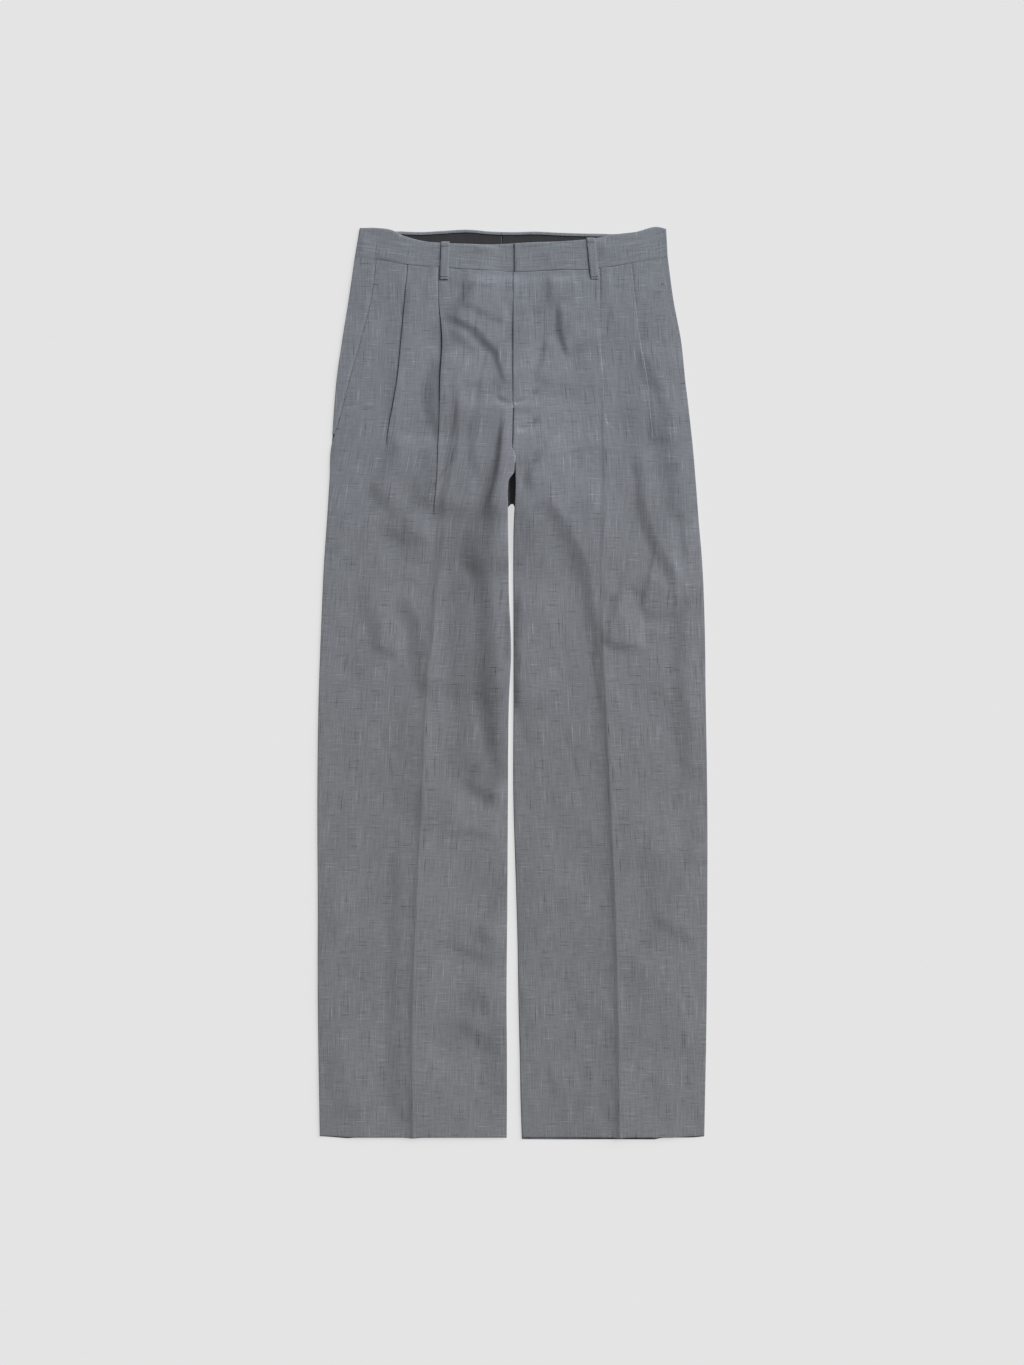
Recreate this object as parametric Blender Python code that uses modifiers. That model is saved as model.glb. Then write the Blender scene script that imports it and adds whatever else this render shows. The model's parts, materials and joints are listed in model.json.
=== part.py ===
"""Pleated dress trousers laid out flat, face up, on a level surface.

The tables and named sizes are in millimetres, and the meshes are made in metres.  +X runs toward the wearer's
left leg, +Y toward the waist, and Z = 0 is the surface that the back of the trousers lies on.

Each front panel is one sheet.  It is worked out as sections across the leg, one for each level.  A section starts
at the side of the leg and runs toward the centre front, down under each reverse pleat, back and over it.  The
back panels lie flat below, the waistband wraps from the centre front round the side fold to the centre back, and
every piece is a wall of cloth with a small gap to the piece that it is sewn to.
"""

import math
from collections import namedtuple

import bpy
import numpy as np

# ---------------------------------------------------------------- driving sizes, in millimetres

METRE = 0.001
WALL = 1.0                      # thickness of the suiting, worked as one wall
SEAM_GAP = 0.3                  # clearance between two pieces that are sewn together
LAYER_STEP = 1.4                # one layer of a pleat to the next, middle to middle
REST_LAYER = WALL + SEAM_GAP    # one piece lying on another, middle to middle

BACK_MIDDLE = WALL / 2
FACING_MIDDLE = BACK_MIDDLE + REST_LAYER
FRONT_MIDDLE = BACK_MIDDLE + REST_LAYER

WAIST_LEVEL = 505.0             # where the waistband is sewn on, at the centre front
CROTCH_LEVEL = 222.0            # lower end of the centre back seam
FLY_END_LEVEL = 341.0           # lower end of the fly opening
FRONTS_PART_LEVEL = 288.0       # the crotch seam ends and the fronts part
FRONT_HEM_LEVEL = -559.3
BACK_HEM_DROP = {"right": 0.8, "left": 1.9}
HEM_SIDE_RISE = 2.0
HEM_RISE_FROM = 0.8             # share of the way out at which the hem starts to rise
HEM_SHAPED_FROM = -480.0        # the sections take the hem's shape over this height
HEM_SHAPED_OVER = 80.0
WAIST_SHAPED_FROM = 380.0       # and the waist's shape from here up

FLY_UNDERLAP = 8.0              # the wearer's right front runs this far under the left one
FLY_WIDTH = 36.0                # from the fly edge to the stitching that holds the fly facing
FLY_FLAT = 12.0                 # the fly edge stands at its full lift this far in
FLY_LIFT_FROM = 26.0            # the lift starts this far below the fly's lower end
FLY_LIFT_OVER = 12.0
UNDERLAP_FROM = 4.0             # the underlap starts this far below the same point
UNDERLAP_OVER = 8.0
CENTRE_BACK_TOP = -13.5         # the centre back seam at the waistband
CENTRE_BACK_FORK = -0.6         # and at the crotch

CROWN = 2.0                     # how far the middle of a leg stands above its edges
CROWN_FLATNESS = 4              # a higher power gives a flatter top and steeper sides
CREASE_HEIGHT = 2.2             # the pressed crease down the front of a leg
CREASE_WIDTH = 9.0
CREASE_LEAST = 3.0              # the crease stays at least this far from the inner pleat
EDGE_FADE = 13.0                # relief dies out over this distance from a seam
FOLD_END_SHARE = 0.3            # share of a fold's length over which its end fades

PLEAT_SPREAD = 24.0             # cloth that a pleat's points cover once it has opened
PLEAT_LEAST = 1.5               # straight overlap left where the pleat ends
TURN_STEPS = 3                  # steps round each turn of a pleat

UNDER_POCKET = 14.0             # the pocket facing runs this far under the slanted edge
UNDER_POCKET_END = 5.0
POCKET_CLEAR = 6.0              # the front is lifted this far past the facing's hidden edge
POCKET_LIFT_FROM = 34.0         # the lift starts this far below the pocket
POCKET_LIFT_OVER = 14.0

FACING_REACH = 155.0            # half length of the waistband facing that shows
FACING_BELOW_EDGE = 1.6         # rim of suiting above the facing
FACING_ABOVE_SEAM = 1.0         # the facing's lower edge above the back waist seam
SIDE_REFERENCE = 190.0          # half width of the waistband that its tables are drawn at
BAND_MIDDLE = 4.4               # height of the front waistband's wall
BAND_SIDE_MIDDLE = 3.1          # and where it turns round the side
BAND_START_LEFT = 1.8           # the band's left half starts at the fly edge
BAND_START_RIGHT = -1.5         # and the right half beside it, before the underlap
BAND_UNDER = 12.0               # the right half lies lower this far from the centre line

FORK_LOW = 220.0                # the lining over the crotch seams, from its lower end
FORK_HIGH = 296.0               # to its upper end
FORK_HALF_WIDTH = 13.0
FORK_TAPER = 4.0                # each side draws in by this much at the lower end
FORK_TAPER_REACH = 25.0
FORK_CLEAR = 14.0               # the fronts are lifted this far past the lining's sides
FORK_CLEAR_ENDS = 30.0          # and past its ends

LOOP_WIDTH = 10.4
LOOP_MIDDLE = 6.0
LOOP_ARCH = 0.6

UPPER_STEP = 17.5               # spacing of the sections above and below the knee
LOWER_STEP = 46.0
STEP_CHANGE_LEVEL = 120.0
BACK_UPPER_ROWS = 12            # sections of a back above and below the crotch
BACK_LOWER_ROWS = 26
UNDER_CROTCH = 6.0              # the first section below the crotch
POCKET_ROWS = 10
FLAT_COLUMNS = 5                # points across a back or a pocket facing

# ---------------------------------------------------------------- tables, in millimetres
# Section: distances from the centre line at one level.  side is the outline, edge the front panel's own outer
# edge (the slanted pocket mouth, then the side seam), outer and inner the fold edges of the two pleats, and
# crease the pressed crease.  Below the pleats, outer and inner only guide the sections down the leg.

Section = namedtuple("Section", "level side edge outer inner crease")
Edge = namedtuple("Edge", "level centre")
Pleat = namedtuple("Pleat", "column waist_overlap end_level")
Fold = namedtuple("Fold", "start bend end height width")
BandPoint = namedtuple("BandPoint", "x seam front_top back_top")
LoopPlace = namedtuple("LoopPlace", "name top_x top_y bottom_x bottom_y")
Leg = namedtuple("Leg", "name outward sections inseam pleats folds crease_top pocket_end")

RIGHT_SECTIONS = [
    Section(524, 194.0, 167.0, 128.0, 91.0, 66.0),
    Section(471, 201.5, 174.0, 133.0, 91.0, 66.0),
    Section(422, 209.5, 186.5, 137.5, 87.0, 65.0),
    Section(373, 216.5, 200.5, 142.5, 89.5, 67.0),
    Section(324, 221.0, 213.0, 151.0, 90.5, 70.0),
    Section(293, 223.0, 222.0, 157.0, 92.0, 74.5),
    Section(250, 225.5, 225.5, 171.5, 93.5, 82.5),
    Section(201, 228.0, 228.0, 184.0, 99.0, 90.0),
    Section(151, 231.5, 231.5, 186.5, 107.5, 93.0),
    Section(78, 235.0, 235.0, 186.5, 117.5, 97.5),
    Section(-21, 238.5, 238.5, 184.0, 126.0, 106.5),
    Section(-144, 240.0, 240.0, 184.0, 132.5, 112.0),
    Section(-267, 239.5, 239.5, 184.0, 137.0, 118.5),
    Section(-390, 239.5, 239.5, 184.0, 142.0, 123.0),
    Section(-561, 237.0, 237.0, 184.0, 142.0, 123.5),
]
LEFT_SECTIONS = [
    Section(524, 192.5, 182.0, 144.5, 107.0, 96.5),
    Section(471, 200.0, 191.0, 150.5, 107.0, 96.5),
    Section(422, 208.0, 203.0, 156.5, 107.5, 98.0),
    Section(373, 213.5, 213.0, 165.5, 111.0, 103.0),
    Section(324, 218.5, 218.5, 170.0, 113.0, 108.5),
    Section(293, 222.5, 222.5, 174.0, 115.0, 111.5),
    Section(250, 225.5, 225.5, 179.0, 121.0, 113.0),
    Section(201, 229.0, 229.0, 183.0, 123.5, 113.0),
    Section(151, 233.0, 233.0, 185.0, 125.0, 112.0),
    Section(78, 236.5, 236.5, 186.5, 123.5, 109.5),
    Section(-21, 238.0, 238.0, 187.5, 128.5, 114.0),
    Section(-144, 240.0, 240.0, 187.5, 136.0, 120.0),
    Section(-267, 240.0, 240.0, 187.5, 142.0, 125.5),
    Section(-390, 239.0, 239.0, 187.5, 146.0, 129.0),
    Section(-561, 235.5, 235.5, 187.5, 147.0, 131.0),
]

# The line on which the fronts meet, at the fly and down the crotch seam, then the inseam of each leg.
CENTRE_FRONT = [Edge(530, 1.8), Edge(394, 1.7), Edge(341, 1.8), Edge(290, 1.0)]
RIGHT_INSEAM = [
    Edge(290, -1.0), Edge(278, -3.5), Edge(268, -2.2), Edge(260, -0.6), Edge(252, 4.2), Edge(241, 4.9),
    Edge(217, 5.2), Edge(201, 6.0), Edge(151, 5.0), Edge(102, 4.0), Edge(41, 2.6), Edge(-21, 4.6),
    Edge(-144, 5.0), Edge(-267, 6.0), Edge(-390, 7.0), Edge(-561, 8.0),
]
LEFT_INSEAM = [
    Edge(290, 1.4), Edge(285, 3.4), Edge(278, 4.3), Edge(262, 4.6), Edge(250, 4.6), Edge(217, 3.6),
    Edge(201, 2.8), Edge(151, 2.0), Edge(102, 2.0), Edge(-21, 2.0), Edge(-144, 2.2), Edge(-267, 4.5),
    Edge(-390, 7.0), Edge(-513, 9.5), Edge(-561, 11.5),
]

RIGHT_PLEATS = [Pleat("outer", 17.0, 292.0), Pleat("inner", 22.0, 205.0)]
LEFT_PLEATS = [Pleat("outer", 17.0, 300.0), Pleat("inner", 22.0, 318.0)]

# The largest folds: each runs from start through bend to end; a negative height is a hollow.
RIGHT_FOLDS = [
    Fold((-70, 464), (-31, 444), (-7, 383), 3.0, 14),
    Fold((-73, 430), (-51, 416), (-34, 383), -1.0, 12),
    Fold((-6, 324), (-12, 238), (-51, 139), 4.0, 12),
    Fold((-150, 293), (-164, 250), (-184, 219), 1.5, 12),
    Fold((-26, 133), (-23, 53), (-22, -95), 1.8, 13),
    Fold((-140, 114), (-122, 87), (-108, 53), -1.2, 13),
    Fold((-137, -79), (-137, -267), (-137, -430), 1.0, 16),
]
LEFT_FOLDS = [
    Fold((55, 476), (72, 447), (81, 385), 2.0, 13),
    Fold((10, 309), (28, 330), (55, 342), 2.0, 12),
    Fold((15, 250), (25, 272), (50, 299), 2.0, 12),
    Fold((67, 238), (106, 170), (114, 53), 1.8, 17),
    Fold((140, 133), (131, 102), (134, 53), 2.0, 14),
    Fold((158, 102), (177, 105), (198, 102), -1.5, 14),
    Fold((180, 238), (198, 176), (218, 133), 1.5, 14),
    Fold((176, -193), (177, -267), (170, -366), 1.2, 16),
    Fold((188, 410), (198, 348), (208, 299), 1.5, 12),
]

RIGHT_LEG = Leg("right", -1, RIGHT_SECTIONS, RIGHT_INSEAM, RIGHT_PLEATS, RIGHT_FOLDS, 390.0, 306.0)
LEFT_LEG = Leg("left", 1, LEFT_SECTIONS, LEFT_INSEAM, LEFT_PLEATS, LEFT_FOLDS, 335.0, 362.0)

# The waistband from the wearer's right side to the left side: its seam to the fronts, and its two top edges.
BAND = [
    BandPoint(-190.0, 524.0, 559.5, 559.5),
    BandPoint(-170.0, 521.0, 559.5, 559.5),
    BandPoint(-147.0, 517.5, 555.0, 555.2),
    BandPoint(-132.0, 515.0, 549.5, 554.4),
    BandPoint(-113.0, 513.0, 545.0, 554.0),
    BandPoint(-88.5, 511.5, 542.5, 555.2),
    BandPoint(-54.5, 508.5, 540.5, 557.0),
    BandPoint(-29.0, 507.5, 540.5, 554.8),
    BandPoint(1.5, 505.5, 540.5, 553.8),
    BandPoint(28.0, 506.7, 543.0, 554.6),
    BandPoint(59.5, 508.0, 544.0, 553.2),
    BandPoint(94.0, 508.5, 547.2, 552.0),
    BandPoint(125.0, 512.5, 551.2, 551.6),
    BandPoint(152.5, 517.5, 554.4, 554.4),
    BandPoint(183.0, 522.5, 560.5, 560.5),
    BandPoint(190.0, 524.5, 558.5, 558.5),
]
BAND_SIDE_TOP = {"right": 187.0, "left": 191.0}
BAND_SIDE_SEAM = {"right": 194.0, "left": 192.8}
BACK_SEAM_SIDE = 524.0          # level of the back waist seam at the sides
BACK_SEAM_DROP = 9.0            # it is this much lower at the centre

LOOPS = [
    LoopPlace("right", -83.0, 541.6, -84.5, 497.0),
    LoopPlace("left", 95.8, 546.4, 101.0, 497.0),
]

# ---------------------------------------------------------------- curves and relief


def smooth_step(value):
    """0 below 0, 1 above 1, and a soft S between them."""
    t = np.clip(value, 0.0, 1.0)
    return t * t * (3.0 - 2.0 * t)


def follow(rows, column, levels, key="level"):
    """A smooth curve through one column of a table: between two rows it is the cubic whose end slopes are the
    mean slopes there."""
    known = np.array([getattr(row, key) for row in rows], float)
    value = np.array([getattr(row, column) for row in rows], float)
    order = np.argsort(known)
    known = known[order]
    value = value[order]
    slope = np.gradient(value, known)
    here = np.clip(levels, known[0], known[-1])
    index = np.clip(np.searchsorted(known, here) - 1, 0, len(known) - 2)
    span = known[index + 1] - known[index]
    t = (here - known[index]) / span
    start = (2 * t**3 - 3 * t**2 + 1) * value[index] + (t**3 - 2 * t**2 + t) * span * slope[index]
    end = (3 * t**2 - 2 * t**3) * value[index + 1] + (t**3 - t**2) * span * slope[index + 1]
    return start + end


def fold_relief(x, y, folds):
    """The height that the folds add: each is a soft ridge along the arc through its three points, fading out at
    both ends."""
    samples = 40
    total = np.zeros_like(x)
    along = np.linspace(0.0, 1.0, samples)[:, None]
    for fold in folds:
        start, bend, end = (np.array(point, float) for point in (fold.start, fold.bend, fold.end))
        control = 2 * bend - (start + end) / 2
        spine = (1 - along) ** 2 * start + 2 * along * (1 - along) * control + along**2 * end
        distance = np.hypot(x[..., None] - spine[:, 0], y[..., None] - spine[:, 1])
        nearest = distance.argmin(axis=-1) / (samples - 1)
        reach = np.clip(distance.min(axis=-1) / fold.width, 0.0, 1.0)
        ends = smooth_step(np.minimum(nearest, 1 - nearest) / FOLD_END_SHARE)
        total += fold.height * ends * (0.5 + 0.5 * np.cos(math.pi * reach))
    return total


def band_curve(column, x):
    """One column of the waistband's table, read at x."""
    return follow(BAND, column, x, key="x")


def centre_edge(leg, y):
    """Distance of a front's centre edge from the centre line: half a gap from the line where the fronts meet,
    then its inseam."""
    joined = leg.outward * follow(CENTRE_FRONT, "centre", y) + SEAM_GAP / 2
    return np.where(y > FRONTS_PART_LEVEL, joined, follow(leg.inseam, "centre", y))


def back_seam(x):
    """Where the waistband is sewn to the back panels."""
    side = np.clip(np.abs(x) / SIDE_REFERENCE, 0.0, 1.0)
    return BACK_SEAM_SIDE - BACK_SEAM_DROP * (1 - side**2)


def centre_back(y):
    """The centre back seam: a straight line from the waistband to the crotch."""
    share = (y - CROTCH_LEVEL) / (WAIST_LEVEL - CROTCH_LEVEL)
    return CENTRE_BACK_FORK + (CENTRE_BACK_TOP - CENTRE_BACK_FORK) * share


# ---------------------------------------------------------------- the front panels

# Points across a reverse pleat, in order along the cloth.  The sheet runs in under the fold edge, turns up at the
# hidden fold, comes back as the middle layer, turns up at the fold edge and goes on as the top layer.  REACH is
# the share of the pleat's overlap that a point lies past the fold edge, OFFSET what the turns add to that, and
# HEIGHT how far the point stands above the cloth that goes in.
TURN_RADIUS = LAYER_STEP / 2
TURN = np.linspace(-math.pi / 2, math.pi / 2, TURN_STEPS + 1)
ONE_TURN = np.ones(TURN_STEPS + 1)
PLEAT_REACH = np.concatenate([[0, 0.5], ONE_TURN, [0.5], 0 * ONE_TURN, [0.5, 1]])
PLEAT_OFFSET = TURN_RADIUS * np.concatenate([[1, 1], 1 + np.cos(TURN), [1], 1 - np.cos(TURN), [1, 1]])
PLEAT_HEIGHT = TURN_RADIUS * np.concatenate([[0, 0], 1 + np.sin(TURN), [2], 3 + np.sin(TURN), [4, 4]])
PLEAT_FLAT = np.linspace(-PLEAT_SPREAD / 2, PLEAT_SPREAD / 2, len(PLEAT_REACH))
PLEAT_TOP = PLEAT_HEIGHT[-1]

SIDE_STEPS = 4                  # steps from the panel's edge to the outer pleat
BETWEEN_STEPS = 3               # between the two pleats
BEFORE_CREASE_STEPS = 2
AFTER_CREASE_STEPS = 7
TOP_SETTLE = 18.0               # the top layer comes down to the cloth below over this distance
HOLD_FULL = 498.0               # the waistband holds the front flat down to here
HOLD_END = 430.0
ZONE_MARGIN = 4.0               # the cloth lies low this far round a pleat
ZONE_SOFT = 10.0
CREASE_RISE = 60.0              # length over which the crease comes up
FITTING_ROUNDS = 4              # a point's level depends on its place across, and that on its level


def pleat_overlap(pleat, y):
    """How far a pleat's layers lie over each other: widest at the waist, least where it ends."""
    share = (y - pleat.end_level) / (WAIST_LEVEL - pleat.end_level)
    return PLEAT_LEAST + (pleat.waist_overlap - PLEAT_LEAST) * np.clip(share, 0.0, 1.0)


def pocket_underlap(leg, y):
    """How far the pocket facing runs under the slanted edge."""
    share = np.clip((y - leg.pocket_end) / (WAIST_LEVEL - leg.pocket_end), 0.0, 1.0)
    return UNDER_POCKET_END + (UNDER_POCKET - UNDER_POCKET_END) * share


def front_height(leg, out, y):
    """The middle of the front's wall above the surface, out being the distance from the centre line: its rest
    height, what the seams and hidden layers below it add, and the crown, crease and folds between its seams."""
    side = follow(leg.sections, "side", y)
    edge = follow(leg.sections, "edge", y)
    crease = follow(leg.sections, "crease", y)
    centre = centre_edge(leg, y)
    hold = smooth_step((y - HOLD_END) / (HOLD_FULL - HOLD_END))
    low = np.zeros_like(y)
    for pleat in leg.pleats:
        fold_edge = follow(leg.sections, pleat.column, y)
        stack = pleat_overlap(pleat, y) + LAYER_STEP + ZONE_MARGIN
        outside = smooth_step((fold_edge + ZONE_MARGIN + ZONE_SOFT - out) / ZONE_SOFT)
        inside = smooth_step((out - fold_edge + stack + ZONE_SOFT) / ZONE_SOFT)
        low = np.maximum(low, outside * inside)
    waist = REST_LAYER * hold * (1 - low)
    under = pocket_underlap(leg, y) + POCKET_CLEAR
    pocket = smooth_step((out - edge + under + ZONE_SOFT) / ZONE_SOFT)
    pocket = pocket * smooth_step((y - leg.pocket_end + POCKET_LIFT_FROM) / POCKET_LIFT_OVER)
    above_fly_end = smooth_step((y - FLY_END_LEVEL + FLY_LIFT_FROM) / FLY_LIFT_OVER)
    if leg.outward > 0:
        fly = above_fly_end * (1 - smooth_step((out - centre - FLY_FLAT) / (FLY_WIDTH - FLY_FLAT)))
    else:
        fly = 0.0 * y
        waist = waist * smooth_step((out - centre) / FLY_WIDTH)
    above_fork = smooth_step((y - FORK_LOW + FORK_CLEAR_ENDS) / ZONE_SOFT)
    below_fork = smooth_step((FORK_HIGH + FORK_CLEAR_ENDS - y) / ZONE_SOFT)
    fork = above_fork * below_fork * smooth_step((FORK_HALF_WIDTH + FORK_CLEAR - out) / ZONE_SOFT)
    lift = np.maximum(np.maximum(waist, REST_LAYER * pocket), REST_LAYER * np.maximum(fly, fork))
    across = (out - centre) / (side - centre)
    crown = CROWN * (1 - np.clip(np.abs(2 * across - 1), 0, 1) ** CROWN_FLATNESS)
    crease_share = smooth_step((leg.crease_top - y) / CREASE_RISE)
    ridge = CREASE_HEIGHT * crease_share * np.exp(-np.abs(out - crease) / CREASE_WIDTH)
    folds = fold_relief(leg.outward * out, y, leg.folds)
    fade = smooth_step((side - out) / EDGE_FADE) * smooth_step((out - centre) / EDGE_FADE)
    relief = np.maximum(crown + ridge + folds, 0.0) * fade * (1 - hold)
    return FRONT_MIDDLE + lift + relief


def section_levels():
    """Levels of the front's sections, from the waist seam to the hem: close above the knee, wider below."""
    upper = np.arange(WAIST_LEVEL, STEP_CHANGE_LEVEL, -UPPER_STEP)
    count = round((upper[-1] - FRONT_HEM_LEVEL) / LOWER_STEP)
    lower = np.linspace(upper[-1], FRONT_HEM_LEVEL, count + 1)[1:]
    return np.concatenate([upper, lower])


def front_sections(leg, y, rows):
    """Distance out from the centre line and height above the cloth below, for each point of each section.  rows
    holds each section's own level, which decides whether a pleat is still folded there."""
    edge = follow(leg.sections, "edge", y)
    crease = follow(leg.sections, "crease", y)
    centre = centre_edge(leg, y)
    if leg.outward < 0:
        centre = centre - FLY_UNDERLAP * smooth_step((y - FLY_END_LEVEL + UNDERLAP_FROM) / UNDERLAP_OVER)
    parts = []
    heights = []
    start = edge[:, :1]
    carry = np.zeros_like(start)
    steps = SIDE_STEPS
    first = 0
    for pleat in leg.pleats:
        columns = slice(first + steps, first + steps + len(PLEAT_REACH))
        level = y[:, columns]
        folded = (rows >= pleat.end_level).astype(float)
        overlap = pleat_overlap(pleat, level)
        inward = folded * (overlap * PLEAT_REACH + PLEAT_OFFSET) + (1 - folded) * PLEAT_FLAT
        stack = follow(leg.sections, pleat.column, level) - inward
        share = np.linspace(0, 1, steps + 1)[:-1]
        span = start + (stack[:, :1] - start) * share
        fall = 1 - smooth_step((start - span) / TOP_SETTLE)
        if parts:
            span = span[:, 1:]
            fall = fall[:, 1:]
        parts += [span, stack]
        heights += [carry * fall, folded * PLEAT_HEIGHT]
        first = sum(part.shape[1] for part in parts) - 1
        start = stack[:, -1:]
        carry = folded * PLEAT_TOP
        steps = BETWEEN_STEPS
    top = start
    crease_out = np.minimum(crease[:, first:first + 1], top - CREASE_LEAST)
    before = top + (crease_out - top) * np.linspace(0, 1, BEFORE_CREASE_STEPS + 1)[1:]
    after = crease_out + (centre[:, -1:] - crease_out) * np.linspace(0, 1, AFTER_CREASE_STEPS + 1)[1:]
    last = np.concatenate([before, after], axis=1)
    parts.append(last)
    heights.append(carry * (1 - smooth_step((top - last) / TOP_SETTLE)))
    return np.concatenate(parts, axis=1), np.concatenate(heights, axis=1)


def fit_waist_and_hem(leg, out, rows):
    """The level of every point of a front: the top section follows the waistband's seam and the bottom one the
    hem, which rises a little at the side."""
    seam = band_curve("seam", leg.outward * out) - SEAM_GAP
    near_waist = smooth_step((rows - WAIST_SHAPED_FROM) / (WAIST_LEVEL - WAIST_SHAPED_FROM))
    side = follow(leg.sections, "side", rows)
    near_hem = smooth_step((HEM_SHAPED_FROM - rows) / HEM_SHAPED_OVER)
    rise = HEM_SIDE_RISE * smooth_step((out / side - HEM_RISE_FROM) / (1 - HEM_RISE_FROM))
    return rows + (seam - WAIST_LEVEL) * near_waist + rise * near_hem


def front_panel(leg):
    """One front, with its two reverse pleats, from the waist seam to the hem."""
    rows = section_levels()[:, None]
    columns = SIDE_STEPS + BETWEEN_STEPS - 1 + 2 * len(PLEAT_REACH) + BEFORE_CREASE_STEPS + AFTER_CREASE_STEPS
    level = np.repeat(rows, columns, axis=1)
    for _ in range(FITTING_ROUNDS):
        out, height = front_sections(leg, level, rows)
        level = fit_waist_and_hem(leg, out, rows)
    middle = front_height(leg, out, level) + height
    return np.stack([leg.outward * out, level, middle], axis=-1)


# ---------------------------------------------------------------- the back panels and pockets


def back_panel(leg):
    """One back: a flat sheet from the waistband to the hem, joined to the other back down to the crotch."""
    hem = FRONT_HEM_LEVEL - BACK_HEM_DROP[leg.name]
    upper = np.linspace(WAIST_LEVEL, CROTCH_LEVEL, BACK_UPPER_ROWS)
    lower = np.linspace(CROTCH_LEVEL - UNDER_CROTCH, hem, BACK_LOWER_ROWS)
    rows = np.concatenate([upper, lower])[:, None]
    side = follow(leg.sections, "side", rows)
    inseam = follow(leg.inseam, "centre", rows)
    centre = leg.outward * centre_back(rows) + SEAM_GAP / 2
    inner = np.where(rows >= CROTCH_LEVEL, centre, inseam)
    out = side + (inner - side) * np.linspace(0, 1, FLAT_COLUMNS)
    near_waist = smooth_step((rows - WAIST_SHAPED_FROM) / (WAIST_LEVEL - WAIST_SHAPED_FROM))
    seam = back_seam(leg.outward * out) - SEAM_GAP
    level = rows + (seam - WAIST_LEVEL) * near_waist
    return np.stack([leg.outward * out, level, 0 * level + BACK_MIDDLE], axis=-1)


def pocket_facing(leg):
    """The piece that shows between the slanted pocket mouth and the side, and runs in under the front."""
    rows = np.linspace(WAIST_LEVEL, leg.pocket_end, POCKET_ROWS)[:, None]
    level = np.repeat(rows, FLAT_COLUMNS, axis=1)
    for _ in range(FITTING_ROUNDS):
        side = follow(leg.sections, "side", level)
        edge = follow(leg.sections, "edge", level)
        inner = edge - pocket_underlap(leg, level)
        out = side + (inner - side) * np.linspace(0, 1, FLAT_COLUMNS)
        level = fit_waist_and_hem(leg, out, rows)
    return np.stack([leg.outward * out, level, 0 * level + FACING_MIDDLE], axis=-1)


def fork_lining():
    """The dark lining over the crotch seams, which shows in the slot between the fronts."""
    y = np.linspace(FORK_HIGH, FORK_LOW, 6)[:, None]
    half = FORK_HALF_WIDTH - FORK_TAPER * smooth_step((FORK_LOW + FORK_TAPER_REACH - y) / FORK_TAPER_REACH)
    x = centre_back(y) + half * np.linspace(-1, 1, 5)
    return np.stack([x, y + 0 * x, 0 * x + FACING_MIDDLE], axis=-1)


# ---------------------------------------------------------------- the waistband

BAND_ROWS = 5
BAND_FRONT_STEPS = 14
BAND_TURN_STEPS = 4
BAND_BACK_STEPS = 9
BAND_SETTLE = 26.0              # the front band comes down to its side turn over this distance


def waistband(leg):
    """One half of the waistband: from the centre front, round the side fold, to the centre back seam."""
    start = BAND_START_LEFT if leg.outward > 0 else BAND_START_RIGHT - FLY_UNDERLAP
    front = np.linspace(start, SIDE_REFERENCE, BAND_FRONT_STEPS + 1)
    back = np.linspace(SIDE_REFERENCE, leg.outward * CENTRE_BACK_TOP + SEAM_GAP / 2, BAND_BACK_STEPS + 1)
    up = np.linspace(0, 1, BAND_ROWS)[:, None]
    side = BAND_SIDE_SEAM[leg.name] + (BAND_SIDE_TOP[leg.name] - BAND_SIDE_SEAM[leg.name]) * up
    turn_radius = (BAND_SIDE_MIDDLE - BACK_MIDDLE) / 2
    turn_centre = side - BACK_MIDDLE - turn_radius

    seam = band_curve("seam", leg.outward * front)
    top = band_curve("front_top", leg.outward * front)
    settle = smooth_step((SIDE_REFERENCE - front) / BAND_SETTLE)
    height = BAND_SIDE_MIDDLE + (BAND_MIDDLE - BAND_SIDE_MIDDLE) * settle
    if leg.outward < 0:
        height -= REST_LAYER * (1 - smooth_step((front - BAND_UNDER) / BAND_SETTLE))
    front_out = front * turn_centre / SIDE_REFERENCE
    front_level = seam + (top - seam) * up
    front_height_rows = height + 0 * up

    angle = np.linspace(math.pi / 2, -math.pi / 2, BAND_TURN_STEPS + 1)[1:-1]
    turn_out = turn_centre + turn_radius * np.cos(angle)
    turn_height = BACK_MIDDLE + turn_radius * (1 + np.sin(angle)) + 0 * up
    turn_level = front_level[:, -1:] + 0 * angle

    back_level = back_seam(leg.outward * back)
    back_top = band_curve("back_top", leg.outward * back)
    back_out = back * turn_centre / SIDE_REFERENCE
    back_out[:, -1] = back[-1]
    back_levels = back_level + (back_top - back_level) * up
    back_height = BACK_MIDDLE + 0 * back_out

    out = np.concatenate([front_out, turn_out, back_out], axis=1)
    level = np.concatenate([front_level, turn_level, back_levels], axis=1)
    middle = np.concatenate([front_height_rows, turn_height, back_height], axis=1)
    return np.stack([leg.outward * out, level, middle], axis=-1)


def band_facing(leg):
    """The dark facing inside the back of the waistband, from the centre back seam toward the side."""
    out = np.linspace(FACING_REACH, leg.outward * CENTRE_BACK_TOP + SEAM_GAP / 2, 12)
    up = np.linspace(0, 1, 3)[:, None]
    bottom = back_seam(leg.outward * out) + FACING_ABOVE_SEAM
    top = band_curve("back_top", leg.outward * out) - FACING_BELOW_EDGE
    level = bottom + (top - bottom) * up
    return np.stack([leg.outward * out + 0 * up, level, 0 * level + FACING_MIDDLE], axis=-1)


def belt_loop(place):
    """A narrow strip standing just clear of the waistband, caught at its top edge and below its seam."""
    along = np.linspace(0, 1, 9)[:, None]
    across = np.linspace(-0.5, 0.5, 3) * LOOP_WIDTH
    x = place.bottom_x + (place.top_x - place.bottom_x) * along + across
    y = place.bottom_y + (place.top_y - place.bottom_y) * along + 0 * across
    z = LOOP_MIDDLE + LOOP_ARCH * np.sin(math.pi * along) + 0 * across
    return np.stack([x, y, z], axis=-1)


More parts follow.
